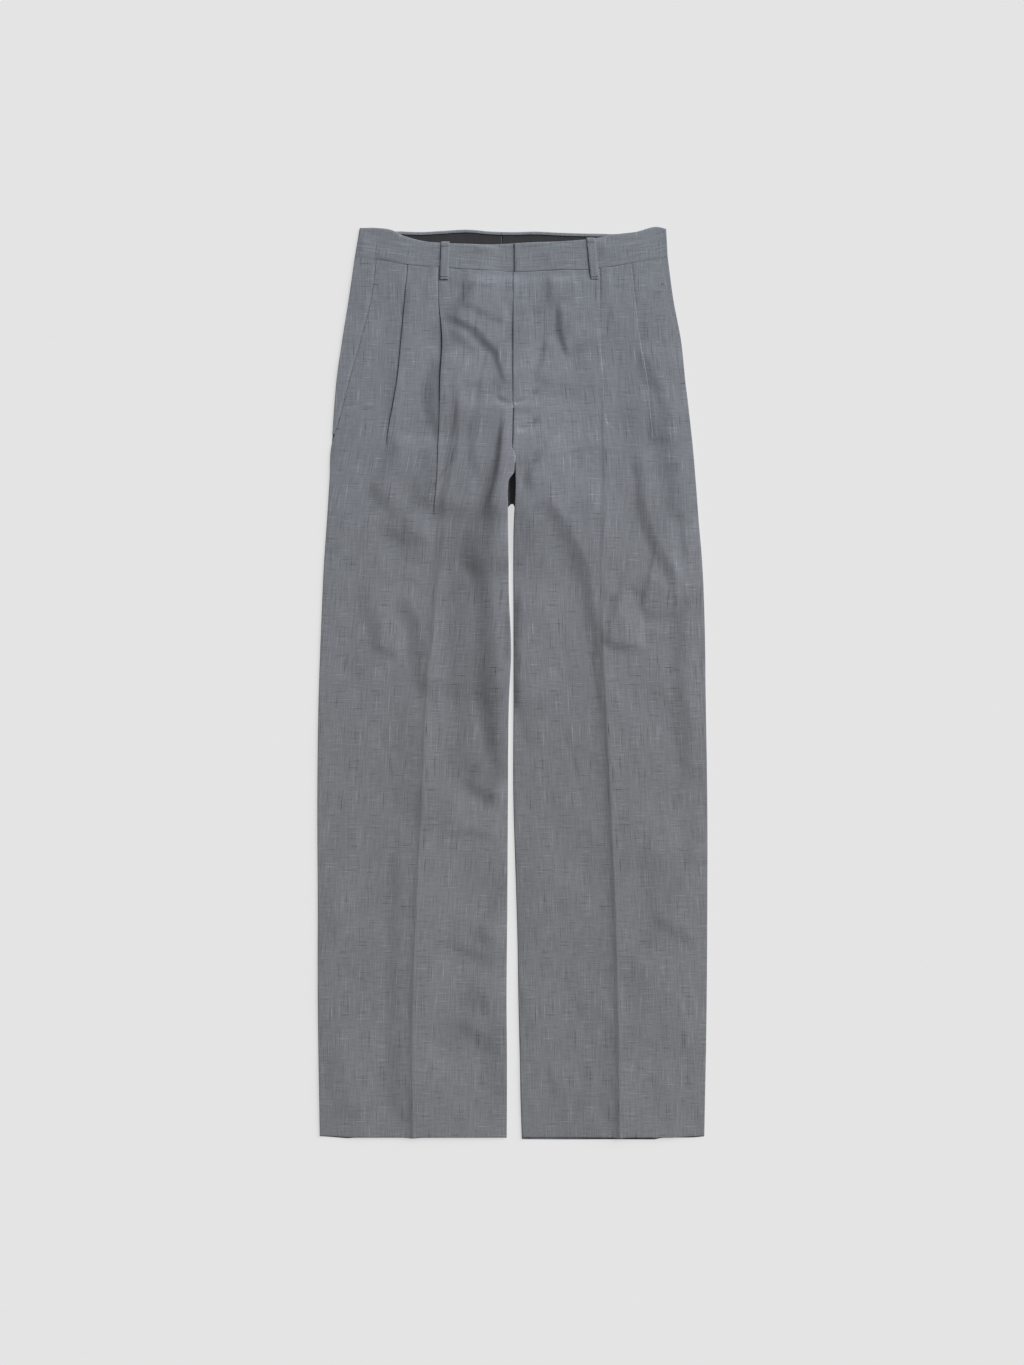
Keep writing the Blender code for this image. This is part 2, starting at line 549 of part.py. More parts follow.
# ---------------------------------------------------------------- objects


def clear_scene():
    """Removes whatever the scene holds."""
    for old in list(bpy.data.objects):
        bpy.data.objects.remove(old, do_unlink=True)


def finish(name, colour, roughness):
    """A matt cloth material with its own colour."""
    material = bpy.data.materials.new(name)
    material.use_nodes = True
    shader = material.node_tree.nodes["Principled BSDF"]
    shader.inputs["Base Color"].default_value = (*colour, 1.0)
    shader.inputs["Roughness"].default_value = roughness
    shader.inputs["Metallic"].default_value = 0.0
    return material


def cloth(name, points, colour, roughness, collection):
    """A piece of cloth: an open sheet through a grid of points, given its wall by Solidify."""
    rows, columns = points.shape[:2]
    index = np.arange(rows * columns).reshape(rows, columns)
    quads = np.stack([index[:-1, :-1], index[1:, :-1], index[1:, 1:], index[:-1, 1:]], axis=-1).reshape(-1, 4)
    mesh = bpy.data.meshes.new(name)
    mesh.from_pydata((points.reshape(-1, 3) * METRE).tolist(), [], quads.tolist())
    mesh.shade_smooth()
    mesh.materials.append(finish(name + "_cloth", colour, roughness))
    piece = bpy.data.objects.new(name, mesh)
    collection.objects.link(piece)
    wall = piece.modifiers.new("wall", "SOLIDIFY")
    wall.thickness = WALL * METRE
    wall.offset = 0.0
    wall.use_even_offset = True
    wall.use_quality_normals = True
    return piece


SUITING = (0.195, 0.208, 0.225)
FACING_CLOTH = (0.042, 0.042, 0.048)


def build():
    """Makes every piece of the trousers in one collection."""
    clear_scene()
    trousers = bpy.data.collections.new("pleated_dress_trousers")
    bpy.context.scene.collection.children.link(trousers)
    for leg in (RIGHT_LEG, LEFT_LEG):
        cloth("back_panel_" + leg.name, back_panel(leg), SUITING, 0.9, trousers)
        cloth("front_panel_" + leg.name, front_panel(leg), SUITING, 0.9, trousers)
        cloth("pocket_facing_" + leg.name, pocket_facing(leg), SUITING, 0.9, trousers)
        cloth("waistband_" + leg.name, waistband(leg), SUITING, 0.9, trousers)
        cloth("band_facing_" + leg.name, band_facing(leg), FACING_CLOTH, 0.8, trousers)
    cloth("fork_lining", fork_lining(), FACING_CLOTH, 0.8, trousers)
    for place in LOOPS:
        cloth("belt_loop_" + place.name, belt_loop(place), SUITING, 0.9, trousers)


build()
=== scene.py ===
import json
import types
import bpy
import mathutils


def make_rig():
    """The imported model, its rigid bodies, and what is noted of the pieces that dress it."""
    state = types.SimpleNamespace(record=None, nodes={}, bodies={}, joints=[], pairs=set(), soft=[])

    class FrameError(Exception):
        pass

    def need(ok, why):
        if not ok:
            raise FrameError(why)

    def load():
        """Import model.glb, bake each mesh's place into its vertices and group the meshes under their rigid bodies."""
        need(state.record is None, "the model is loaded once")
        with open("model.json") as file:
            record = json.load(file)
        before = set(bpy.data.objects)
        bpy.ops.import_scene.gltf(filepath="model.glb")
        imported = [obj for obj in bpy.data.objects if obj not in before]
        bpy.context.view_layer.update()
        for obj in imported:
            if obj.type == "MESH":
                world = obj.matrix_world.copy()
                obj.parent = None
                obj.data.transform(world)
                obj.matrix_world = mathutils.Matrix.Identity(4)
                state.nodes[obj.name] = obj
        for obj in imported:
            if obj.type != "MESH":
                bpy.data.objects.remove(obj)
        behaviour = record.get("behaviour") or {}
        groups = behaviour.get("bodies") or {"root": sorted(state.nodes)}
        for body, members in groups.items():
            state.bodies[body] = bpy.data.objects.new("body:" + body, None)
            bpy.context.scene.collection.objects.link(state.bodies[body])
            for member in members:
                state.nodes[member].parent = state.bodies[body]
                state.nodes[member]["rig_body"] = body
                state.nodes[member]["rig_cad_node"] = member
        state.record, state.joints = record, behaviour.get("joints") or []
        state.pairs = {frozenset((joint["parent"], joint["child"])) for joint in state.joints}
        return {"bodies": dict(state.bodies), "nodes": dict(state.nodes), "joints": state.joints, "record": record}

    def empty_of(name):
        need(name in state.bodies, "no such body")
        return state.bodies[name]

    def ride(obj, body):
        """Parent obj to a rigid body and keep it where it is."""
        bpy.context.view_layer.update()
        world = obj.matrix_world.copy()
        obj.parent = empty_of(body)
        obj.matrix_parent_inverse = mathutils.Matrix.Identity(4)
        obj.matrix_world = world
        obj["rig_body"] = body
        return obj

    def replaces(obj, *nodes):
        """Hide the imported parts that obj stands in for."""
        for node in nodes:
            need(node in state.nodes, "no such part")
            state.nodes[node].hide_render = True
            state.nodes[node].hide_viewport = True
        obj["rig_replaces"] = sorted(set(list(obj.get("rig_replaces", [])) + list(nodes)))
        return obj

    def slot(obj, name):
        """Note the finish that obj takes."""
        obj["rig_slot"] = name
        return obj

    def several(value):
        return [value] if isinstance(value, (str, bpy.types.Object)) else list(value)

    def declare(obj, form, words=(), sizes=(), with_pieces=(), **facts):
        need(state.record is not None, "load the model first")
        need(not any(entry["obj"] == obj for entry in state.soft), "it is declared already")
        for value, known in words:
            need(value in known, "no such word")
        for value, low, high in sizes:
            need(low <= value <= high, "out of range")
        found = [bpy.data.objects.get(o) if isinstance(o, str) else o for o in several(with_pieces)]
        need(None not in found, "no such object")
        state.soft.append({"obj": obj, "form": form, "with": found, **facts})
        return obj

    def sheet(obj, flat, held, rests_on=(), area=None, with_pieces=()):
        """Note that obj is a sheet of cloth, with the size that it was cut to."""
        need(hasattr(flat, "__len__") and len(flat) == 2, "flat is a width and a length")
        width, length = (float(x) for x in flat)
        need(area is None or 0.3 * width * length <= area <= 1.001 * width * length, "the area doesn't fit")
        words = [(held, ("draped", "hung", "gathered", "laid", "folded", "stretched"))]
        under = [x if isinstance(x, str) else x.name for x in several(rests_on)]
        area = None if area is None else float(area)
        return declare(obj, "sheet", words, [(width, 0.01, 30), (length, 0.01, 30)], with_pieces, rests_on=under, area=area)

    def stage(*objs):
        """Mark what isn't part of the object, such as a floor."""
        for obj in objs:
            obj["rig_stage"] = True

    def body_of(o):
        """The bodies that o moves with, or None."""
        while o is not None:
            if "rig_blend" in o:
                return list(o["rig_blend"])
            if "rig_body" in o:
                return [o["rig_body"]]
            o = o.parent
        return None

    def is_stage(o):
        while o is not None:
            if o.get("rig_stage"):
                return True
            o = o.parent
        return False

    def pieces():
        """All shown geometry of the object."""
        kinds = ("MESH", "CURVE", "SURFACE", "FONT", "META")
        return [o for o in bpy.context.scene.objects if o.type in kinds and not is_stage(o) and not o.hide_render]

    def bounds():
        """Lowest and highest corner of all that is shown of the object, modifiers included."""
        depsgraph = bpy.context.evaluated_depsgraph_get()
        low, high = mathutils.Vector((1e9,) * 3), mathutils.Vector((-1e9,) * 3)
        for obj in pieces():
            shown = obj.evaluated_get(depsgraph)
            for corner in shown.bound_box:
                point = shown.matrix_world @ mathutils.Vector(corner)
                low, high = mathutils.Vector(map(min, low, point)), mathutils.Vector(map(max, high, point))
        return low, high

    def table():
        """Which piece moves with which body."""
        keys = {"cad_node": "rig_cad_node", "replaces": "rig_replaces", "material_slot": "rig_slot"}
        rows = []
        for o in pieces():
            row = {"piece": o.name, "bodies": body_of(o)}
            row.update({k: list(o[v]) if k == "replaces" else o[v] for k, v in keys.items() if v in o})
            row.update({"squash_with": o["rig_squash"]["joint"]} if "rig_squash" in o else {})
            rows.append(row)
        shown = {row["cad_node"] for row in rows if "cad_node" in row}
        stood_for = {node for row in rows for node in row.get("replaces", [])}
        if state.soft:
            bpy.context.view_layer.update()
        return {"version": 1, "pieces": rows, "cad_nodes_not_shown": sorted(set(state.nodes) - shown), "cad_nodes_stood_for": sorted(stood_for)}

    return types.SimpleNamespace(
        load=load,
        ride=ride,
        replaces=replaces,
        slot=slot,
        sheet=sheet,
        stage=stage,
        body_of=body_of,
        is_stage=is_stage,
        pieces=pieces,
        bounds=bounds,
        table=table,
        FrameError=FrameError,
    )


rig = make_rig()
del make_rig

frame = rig.load()

# %% [markdown]
# # Pleated dress trousers, laid out flat
#
# A pair of wide grey dress trousers lies face up on a pale table.  The cloth is a light, smooth suiting whose
# yarns differ a little in shade, so that it looks heathered from close by.  Each front has two reverse pleats
# and a pressed crease, the waistband is plain with two belt loops, and the fly is closed.
#
# The frame that was just loaded holds the size and place of every piece.  This script makes a finer surface
# for each one, then its finish, the light and the camera.  All tables are in millimetres: x runs to the
# wearer's left, y to the waist and z up from the table.  "Out" is the distance from the centre line of the
# trousers.

# %% Keep the frame's box
import json
import math
from collections import namedtuple

import bpy
import numpy as np

frame_low, frame_high = (list(corner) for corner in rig.bounds())
print("frame box:", [round(1000 * (b - a), 1) for a, b in zip(frame_low, frame_high)], "mm")

# %% [markdown]
# ## The drawing
#
# A pattern cutter draws trousers as lines across the leg at a row of levels.  The tables below are that
# drawing: a `Section` says how far out the side, the front's edge, the two pleats and the crease lie at its
# level, and an `Edge` does so for the centre.  A curve through each column gives the place at any level in
# between.  The drawing keeps within a few millimetres of the frame, so each fine surface lies in or close to
# its solid.

# %% Sizes of the drawing
METRE = 0.001
CLOTH = 0.30                    # thickness of the suiting
BACK_MIDDLE = 0.30              # heights above the table: the middle of the backs,
FORK_MIDDLE = 1.08              # of the crotch lining
FRONT_MIDDLE = 1.80             # and of the fronts
MOUTH_DIP = 0.36                # the pocket facing lies this far below the front
LAYER = 1.30                    # a seam allowance or facing under the front lifts it by about this much
PLEAT_LAYER = 1.40              # height of one layer of a pleat that isn't pressed

WAIST = 505.0                   # levels: the waist seam at the centre front,
FLY_END = 341.0                 # the foot of the fly,
FRONTS_PART = 288.0             # the place below which the fronts part,
CROTCH = 222.0                  # the crotch seams of the backs
HEM = -559.3                    # and the hems
FLY_WIDTH = 36.0
FLY_UNDERLAP = 8.0              # the right front runs on this far under the left one
CENTRE_BACK_TOP = -13.5         # place of the centre back seam at the waist and at the crotch
CENTRE_BACK_FORK = -0.6
SIDE_REFERENCE = 190.0          # distance out of the side fold of the waistband, as drawn
SEAM_GAP = 0.1                  # a sheet ends this far from a seam across the leg,
CENTRE_GAP = 0.15               # and this far from the centre back seam

Section = namedtuple("Section", "level side edge outer inner crease")
Edge = namedtuple("Edge", "level centre")
Pleat = namedtuple("Pleat", "column waist_overlap end_level flat_from flat_to thick thin_below")
BandPoint = namedtuple("BandPoint", "x seam front_top back_top")
Fold = namedtuple("Fold", "height light shade crisp fade path")
Leg = namedtuple("Leg", "name outward sections inseam pleats crease_top crease_height pocket_end seed")


def table_of(kind, *rows):
    """The rows of a table, with their numbers named."""
    return [kind(*row) for row in rows]


print("the trousers are drawn from", HEM, "to", WAIST, "mm")

# %% Tables of the legs
RIGHT_SECTIONS = table_of(Section,
    (524, 194.4, 167.0, 128.0, 91.0, 66.0),
    (471, 202.0, 174.0, 133.0, 91.0, 66.0),
    (422, 209.8, 186.5, 137.5, 87.0, 65.0),
    (373, 216.8, 200.5, 142.5, 89.5, 67.0),
    (324, 220.8, 213.0, 151.0, 90.5, 70.0),
    (293, 222.8, 222.8, 157.0, 92.0, 74.5),
    (250, 225.4, 225.4, 171.5, 93.5, 82.5),
    (201, 228.5, 228.5, 184.0, 99.0, 90.0),
    (151, 232.0, 232.0, 186.5, 107.5, 93.0),
    (78, 235.4, 235.4, 186.5, 117.5, 97.5),
    (-21, 238.9, 238.9, 184.0, 126.0, 106.5),
    (-144, 240.4, 240.4, 184.0, 132.5, 112.0),
    (-267, 239.9, 239.9, 184.0, 137.0, 118.5),
    (-390, 239.9, 239.9, 184.0, 142.0, 123.0),
    (-561, 237.4, 237.4, 184.0, 142.0, 123.5))
LEFT_SECTIONS = table_of(Section,
    (524, 190.6, 182.0, 144.5, 107.0, 96.5),
    (471, 197.6, 191.0, 150.5, 107.0, 96.5),
    (422, 206.8, 203.0, 156.5, 107.5, 98.0),
    (373, 212.0, 211.7, 165.5, 111.0, 103.0),
    (324, 217.6, 217.6, 170.0, 113.0, 108.5),
    (293, 221.0, 221.0, 174.0, 115.0, 111.5),
    (250, 224.6, 224.6, 179.0, 121.0, 113.0),
    (201, 228.4, 228.4, 183.0, 123.5, 113.0),
    (151, 232.6, 232.6, 185.0, 125.0, 112.0),
    (78, 235.8, 235.8, 186.5, 123.5, 109.5),
    (-21, 237.2, 237.2, 187.5, 128.5, 114.0),
    (-144, 239.2, 239.2, 187.5, 136.0, 120.0),
    (-267, 239.2, 239.2, 187.5, 142.0, 125.5),
    (-390, 238.5, 238.5, 187.5, 146.0, 129.0),
    (-561, 235.5, 235.5, 187.5, 147.0, 131.0))

CENTRE_FRONT = [Edge(530, 0.6), Edge(394, 0.3), Edge(341, 0.2), Edge(290, -0.8)]
RIGHT_INSEAM = table_of(Edge,
    (290, 0.8), (278, -3.2), (268, -2.2), (258, -1.0), (250, 4.6), (241, 6.0),
    (217, 6.0), (201, 6.0), (151, 5.2), (102, 4.6), (78, 3.3), (41, 2.2),
    (-21, 4.8), (-144, 6.0), (-267, 6.7), (-390, 7.7), (-464, 7.2), (-525, 7.3),
    (-561, 7.5))
LEFT_INSEAM = table_of(Edge,
    (290, -0.6), (284, 0.2), (276, 1.8), (266, 2.8), (250, 3.3), (217, 2.3),
    (201, 1.4), (151, 0.6), (102, 0.8), (-21, 0.9), (-144, 0.8), (-193, 2.1),
    (-242, 3.7), (-316, 5.8), (-390, 7.0), (-464, 8.7), (-525, 9.9), (-561, 11.2))

RIGHT_PLEATS = [Pleat("outer", 17.0, 292.0, -12, 12, 0.40, 300.0),
                Pleat("inner", 22.0, 205.0, -12, 12, 0.66, 362.0)]
LEFT_PLEATS = [Pleat("outer", 17.0, 300.0, -12, 12, 0.34, 300.0),
               Pleat("inner", 22.0, 318.0, -20, 2, 0.3, 400.0)]
RIGHT_LEG = Leg("right", -1, RIGHT_SECTIONS, RIGHT_INSEAM, RIGHT_PLEATS, 390.0, 1.3, 306.0, 11)
LEFT_LEG = Leg("left", 1, LEFT_SECTIONS, LEFT_INSEAM, LEFT_PLEATS, 125.0, 1.8, 362.0, 21)
LEGS = (RIGHT_LEG, LEFT_LEG)
print("levels drawn:", len(RIGHT_SECTIONS), "right,", len(LEFT_SECTIONS), "left")

# %% Tables of the waistband
BAND = table_of(BandPoint,
    (-190.0, 524.0, 559.5, 559.5),
    (-170.0, 521.0, 559.5, 559.5),
    (-147.0, 517.5, 555.2, 555.4),
    (-139.0, 516.2, 550.6, 555.3),
    (-132.0, 515.0, 548.2, 554.9),
    (-113.0, 513.0, 543.3, 554.5),
    (-88.5, 511.5, 541.0, 555.8),
    (-54.5, 508.5, 539.7, 557.4),
    (-29.0, 507.5, 539.0, 555.2),
    (1.5, 505.5, 540.4, 554.4),
    (28.0, 506.7, 541.8, 555.0),
    (59.5, 508.0, 542.8, 553.6),
    (94.0, 508.5, 545.6, 552.6),
    (108.0, 510.3, 547.6, 552.4),
    (125.0, 512.5, 551.0, 552.0),
    (152.5, 517.5, 554.4, 554.4),
    (183.0, 522.5, 560.5, 560.5),
    (190.0, 524.5, 558.5, 558.5))
BAND_SIDE_TOP = {"right": 188.4, "left": 188.8}
BAND_SIDE_SEAM = {"right": 194.4, "left": 190.8}
print("waistband drawn at", len(BAND), "places")

# %% Folds of the right leg
RIGHT_FOLDS = table_of(Fold,
    (2.6, 130, 12, 0.3, 16, ((-82, 458, 0.8), (-69, 450, 0.9), (-56, 444), (-43, 436, 1.1), (-31, 423, 1.1),
        (-19, 410, 0.9), (-15, 393, 0.6), (-8, 367, 0.4))),
    (-1.6, 5, 4, 0.2, 8, ((-23, 351), (-12, 345), (0, 343))),
    (0.45, 8, 6, 0.2, 14, ((-85, 395), (-71, 402), (-56, 410), (-42, 417))),
    (0.5, 8, 6, 0.2, 14, ((-71, 377), (-61, 390), (-49, 401), (-37, 412))),
    (0.5, 120, 12, 0.1, 18, ((-77, 496), (-59, 496), (-38, 495), (-18, 491))),
    (1.2, 110, 10, 0.2, 14, ((-63, 471), (-43, 463), (-22, 453), (-2, 447))),
    (1.5, 120, 14, 0.1, 20, ((-82, 437), (-65, 431), (-48, 418), (-33, 404))),
    (0.8, 22, 4, 0, 14, ((-130, 496), (-131, 471), (-135, 444))),
    (0.8, 10, 16, 0, 24, ((-140, 398), (-141, 367), (-145, 342), (-151, 318))),
    (2.2, 140, 18, 0.1, 24, ((-92, 417, 0.4), (-92, 395, 0.7), (-93, 373, 0.9), (-95, 348), (-92, 324, 0.8),
        (-91, 293, 0.4))),
    (3, 120, 46, 0, 26, ((-91, 318, 0.6), (-90, 274, 1), (-91, 238, 1), (-95, 201, 0.6))),
    (0.5, 14, 9, 0.1, 30, ((-88, 407), (-88, 373), (-87, 342), (-90, 299), (-95, 262), (-97, 225))),
    (1, 220, 8, 0.3, 30, ((-66, 366, 0.7), (-65, 324), (-66, 299), (-70, 274), (-76, 250), (-81, 225),
        (-83, 194), (-87, 151, 0.8), (-92, 102, 0.7))),
    (1.8, 200, 16, 0.1, 40, ((-35, 398, 0.6), (-33, 348, 0.9), (-37, 326), (-42, 309), (-43, 287), (-40, 262),
        (-34, 240))),
    (2.2, 200, 26, 0, 40, ((-48, 400, 0.6), (-40, 373), (-38, 343, 0.9))),
    (0.9, 200, 10, 0.2, 16, ((1, 513), (1, 471), (1, 449, 0.7))),
    (0.9, 20, 4, 0.3, 16, ((-5, 95), (-5, 65), (-5, 23))),
    (3, 200, 18, 0, 60, ((-6, 348, 0.2), (-10, 318, 0.5), (-12, 287, 0.6), (-15, 256, 0.85), (-17, 231, 1.4),
        (-17, 207, 2), (-19, 188, 2.3), (-23, 170, 2.4), (-28, 151, 2.2), (-27, 129, 1.5), (-22, 102, 1.6),
        (-17, 53, 1.9), (-15, 4, 2), (-13, -39, 1.8), (-13, -82, 1.3), (-12, -126, 0.6))),
    (3.2, 200, 40, 0, 60, ((0, 422, 0.55), (0, 378, 0.75), (0, 348, 0.85), (0, 311, 1), (-1, 281, 1),
        (-5, 238, 1), (-11, 201, 0.7), (-18, 151, 0.5), (-23, 102, 0.3))),
    (1.6, 120, 5.5, 0.7, 34, ((-8, 334, 0.3), (-11, 318, 0.8), (-15, 287), (-19, 256), (-23, 241), (-28, 225),
        (-34, 212, 0.7), (-42, 197, 0.4))),
    (3.3, 200, 46, 0, 40, ((-40, 373, 0.5), (-42, 338, 0.9), (-43, 299), (-45, 262), (-48, 213), (-45, 151),
        (-43, 78), (-40, 4), (-39, -70), (-38, -132))),
    (2.2, 150, 20, 0.2, 22, ((-135, 309), (-138, 287), (-146, 265), (-161, 242), (-176, 225))),
    (3.1, 140, 28, 0.2, 30, ((-155, 215, 0.5), (-147, 206, 0.9), (-138, 194), (-125, 187), (-108, 180, 0.9),
        (-90, 169, 0.6))),
    (1.2, 60, 20, 0.1, 22, ((-149, 170, 0.7), (-129, 165), (-108, 161), (-90, 158, 0.7))),
    (2.3, 160, 25, 0.4, 26, ((-138, 119, 0.6), (-125, 97, 0.9), (-113, 73), (-107, 38), (-106, 4, 0.8),
        (-108, -21, 0.5))),
    (1.2, 50, 26, 0, 30, ((-188, 144, 0.6), (-173, 107), (-160, 75), (-149, 43, 0.7))),
    (1.4, 40, 12, 0.2, 14, ((-178, 53), (-159, 46), (-134, 34))),
    (0.7, 40, 14, 0.1, 30, ((-181, 134), (-151, 134), (-124, 133), (-99, 129))),
    (1.6, 110, 36, 0.1, 60, ((-112, -14), (-113, -70), (-115, -132), (-118, -181))),
    (1.5, 70, 24, 0, 60, ((-131, -169, 0.7), (-133, -242), (-135, -316), (-135, -390), (-134, -464, 1.1),
        (-135, -548))),
    (2.6, 90, 18, 0.3, 16, ((-61, -117, 0.6), (-42, -126, 0.9), (-24, -132, 1.2), (-6, -139, 1.3))),
    (1.1, 50, 14, 0.1, 20, ((-92, -178), (-65, -178), (-38, -181), (-10, -186))),
    (2, 90, 24, 0.1, 20, ((-50, -294, 0.5), (-35, -303, 0.9), (-21, -308), (-7, -313))),
    (1.6, 60, 20, 0.1, 26, ((-90, -319, 0.4), (-63, -321, 0.7), (-34, -327, 1.2), (-11, -334, 1.3))),
    (1.5, 50, 26, 0.1, 26, ((-63, -390, 0.3), (-38, -385, 0.9), (-8, -388))),
    (1.5, 90, 24, 0.1, 26, ((-70, -410, 0.6), (-50, -417), (-28, -432), (-6, -454))),
    (1.6, 20, 30, 0, 60, ((-5, -181), (-5, -267), (-6, -341, 1.3), (-6, -390, 1.3), (-6, -526))),
    (1.4, 140, 60, 0, 40, ((-65, -341), (-67, -390), (-70, -452))),
    (0.9, 60, 22, 0, 26, ((-97, -452), (-98, -484), (-101, -518))),
    (1.3, 50, 30, 0.1, 22, ((-227, -434, 0.6), (-210, -459), (-205, -494), (-200, -538))))
print("folds drawn on the right leg:", len(RIGHT_FOLDS))

# %% Folds of the left leg and the waistband
LEFT_FOLDS = table_of(Fold,
    (1.6, 80, 10, 0.1, 20, ((48, 513), (49, 484), (49, 459))),
    (2.5, 120, 10, 0.2, 22, ((58, 474, 0.6), (61, 457), (62, 434), (67, 415, 0.9), (74, 395, 0.5))),
    (1.2, 40, 8, 0.1, 16, ((45, 430), (42, 407), (36, 388), (29, 366))),
    (-2.4, 6, 5, 0.2, 9, ((4, 310, 0.6), (10, 311), (20, 315), (32, 325, 0.8))),
    (-0.9, 4, 4, 0.2, 7, ((1, 329, 0.7), (11, 330), (22, 336, 0.7))),
    (-2.2, 5, 4, 0.2, 8, ((-2, 343), (11, 345), (21, 351), (31, 361))),
    (2.2, 34, 12, 0.2, 30, ((63, 311, 0.3), (51, 297, 0.8), (40, 283), (30, 268), (24, 254), (22, 238, 0.6),
        (22, 225, 0.3))),
    (2.1, 120, 10, 0.2, 40, ((10, 133, 0.4), (10, 102, 0.8), (10, 78, 1.1), (9, 53, 1.2), (9, 28, 1.2),
        (9, -9, 1), (10, -52, 0.6))),
    (3, 120, 28, 0.6, 40, ((33, 247, 0.5), (46, 226, 0.7), (61, 206, 0.8), (74, 183, 0.9), (85, 164),
        (93, 143), (97, 121, 0.9), (100, 96, 0.8), (104, 53, 0.5), (107, 4, 0.35), (112, -46, 0.2))),
    (0.7, 40, 14, 0.1, 30, ((95, 257), (96, 225), (97, 183))),
    (0.5, 60, 4.5, 0.3, 20, ((112, 428, 0.5), (113, 368, 0.8), (113, 336, 1.2), (113, 299, 1.2),
        (114, 255, 1.3), (115, 213, 1.8), (112, 188, 1.3), (110, 151, 0.8), (110, 102, 0.8))),
    (1.5, 90, 48, 0.1, 34, ((160, 368), (160, 336), (160, 299), (159, 255))),
    (1.1, 40, 9, 0.2, 14, ((170, 361, 0.5), (173, 343), (174, 319), (176, 292))),
    (0.7, 30, 9, 0.2, 8, ((171, 139), (157, 124), (148, 111))),
    (0.3, 12, 14, 0.2, 14, ((131, 119), (132, 102), (136, 80), (141, 60))),
    (2.4, 140, 14, 0.2, 14, ((107, 58, 0.7), (126, 53), (144, 49), (166, 47, 0.7))),
    (2.5, 90, 25, 0.1, 14, ((152, 105, 0.4), (166, 102, 1.1), (181, 101, 1.2), (198, 101, 1),
        (213, 102, 0.8))),
    (1, 60, 10, 0.1, 14, ((168, 100), (168, 78), (166, 50))),
    (0.6, 30, 9, 0.1, 14, ((105, 110), (120, 110), (134, 111))),
    (2.3, 140, 18, 0.2, 30, ((158, 292, 0.6), (163, 250), (165, 219), (171, 197), (180, 176), (192, 155, 1.1),
        (207, 132, 1.2), (216, 106, 1.2), (222, 78, 0.8))),
    (1.8, 60, 60, 0, 40, ((171, 262), (174, 213), (176, 151), (175, 90))),
    (0.9, 30, 10, 0.1, 26, ((208, 225), (213, 188), (217, 149))),
    (2, 50, 20, 0.1, 26, ((161, 422, 0.6), (168, 401), (176, 383, 1.1), (186, 362), (195, 340), (203, 311))),
    (2.8, 110, 30, 0.1, 34, ((184, 348, 0.6), (195, 314), (203, 274), (209, 235), (214, 191, 0.8))),
    (1.8, 60, 24, 0.1, 40, ((207, 122, 0.6), (214, 90), (216, 41), (217, -9), (221, -58, 1.2), (224, -132))),
    (1.3, 60, 28, 0, 50, ((171, -169), (181, -230), (184, -292), (174, -353))),
    (1.4, 90, 30, 0, 40, ((169, -316), (168, -353), (168, -402), (163, -459))),
    (1.4, 60, 26, 0.1, 26, ((228, -151), (228, -193), (224, -233))),
    (1, 80, 18, 0, 30, ((148, -144), (148, -187), (145, -233))),
    (0.9, 60, 22, 0, 30, ((126, -458), (126, -501), (126, -544))),
    (1.3, 140, 18, 0.1, 20, ((171, -282, 0.4), (191, -292), (216, -306), (235, -324))),
    (0.9, 40, 16, 0.1, 20, ((6, -63), (29, -65), (51, -68))),
    (0.7, 30, 12, 0.1, 20, ((43, -464), (54, -489), (58, -518))),
    (0.4, 30, 12, 0.1, 20, ((166, -466), (181, -494), (186, -528))))
BAND_FOLDS = table_of(Fold,
    (0.6, 30, 7, 0.1, 6, ((112, 545), (112, 522))),
    (0.8, 20, 7, 0.1, 6, ((-182, 548), (-184, 523))),
    (0.7, 40, 11, 0.1, 6, ((-159, 535), (-160, 508))),
    (0.7, 12, 8, 0.1, 8, ((-50, 534), (-33, 535), (-16, 532))),
    (0.5, 40, 14, 0.1, 8, ((41, 538), (53, 508))))
FOLDS = {"right": RIGHT_FOLDS, "left": LEFT_FOLDS}
print("and", len(LEFT_FOLDS), "on the left leg,", len(BAND_FOLDS), "on the waistband")

# %% Colours and light
CLOTH_COLOUR = "727478"
WAIST_PAINTED_LIGHT_COLOUR = "757980"         # painted light: a touch paler and cooler at the waist, where the light falls brighter
FACING_COLOUR = "28282C"
LINING_COLOUR = "74747C"        # painted light: coloured paler to make up for the shade of the deep slot it lies in, which takes most of its light
THREAD_COLOUR = "6A6E74"
TABLE_COLOUR = "747474"
TABLE_GLOW = 0.604              # most of the table's brightness is its own, as on a light table
ROOM_LIGHT = 0.14
SUN_LIGHT = 6.14
SUN_ANGLE = 45.0                # a wide light gives soft shadows
SUN_FROM = (0.70, 0.56, 0.43)
print("cloth", CLOTH_COLOUR, "facing", FACING_COLOUR)

# %% [markdown]
# ## Curves and soft steps
#
# A few small helpers do most of the shaping.  `smooth_step` eases from 0 to 1, and `hermite` runs a soft
# curve through listed points, as a flexible ruler does.

# %% Curve helpers
def smooth_step(value):
    """0 below 0, 1 above 1, and 3t^2 - 2t^3 in between."""
    t = np.clip(value, 0.0, 1.0)
    return t * t * (3.0 - 2.0 * t)


def blend(start, end, share):
    """start at share 0, end at share 1."""
    return start + (end - start) * share


def hermite(known, value, here):
    """The cubic through each pair of neighbours whose end slopes are the mean slopes there."""
    slope = np.gradient(value, known)
    here = np.clip(here, known[0], known[-1])
    i = np.clip(np.searchsorted(known, here) - 1, 0, len(known) - 2)
    span = known[i + 1] - known[i]
    t = (here - known[i]) / span
    start = (2 * t**3 - 3 * t**2 + 1) * value[i] + (t**3 - 2 * t**2 + t) * span * slope[i]
    end = (3 * t**2 - 2 * t**3) * value[i + 1] + (t**3 - t**2) * span * slope[i + 1]
    return start + end


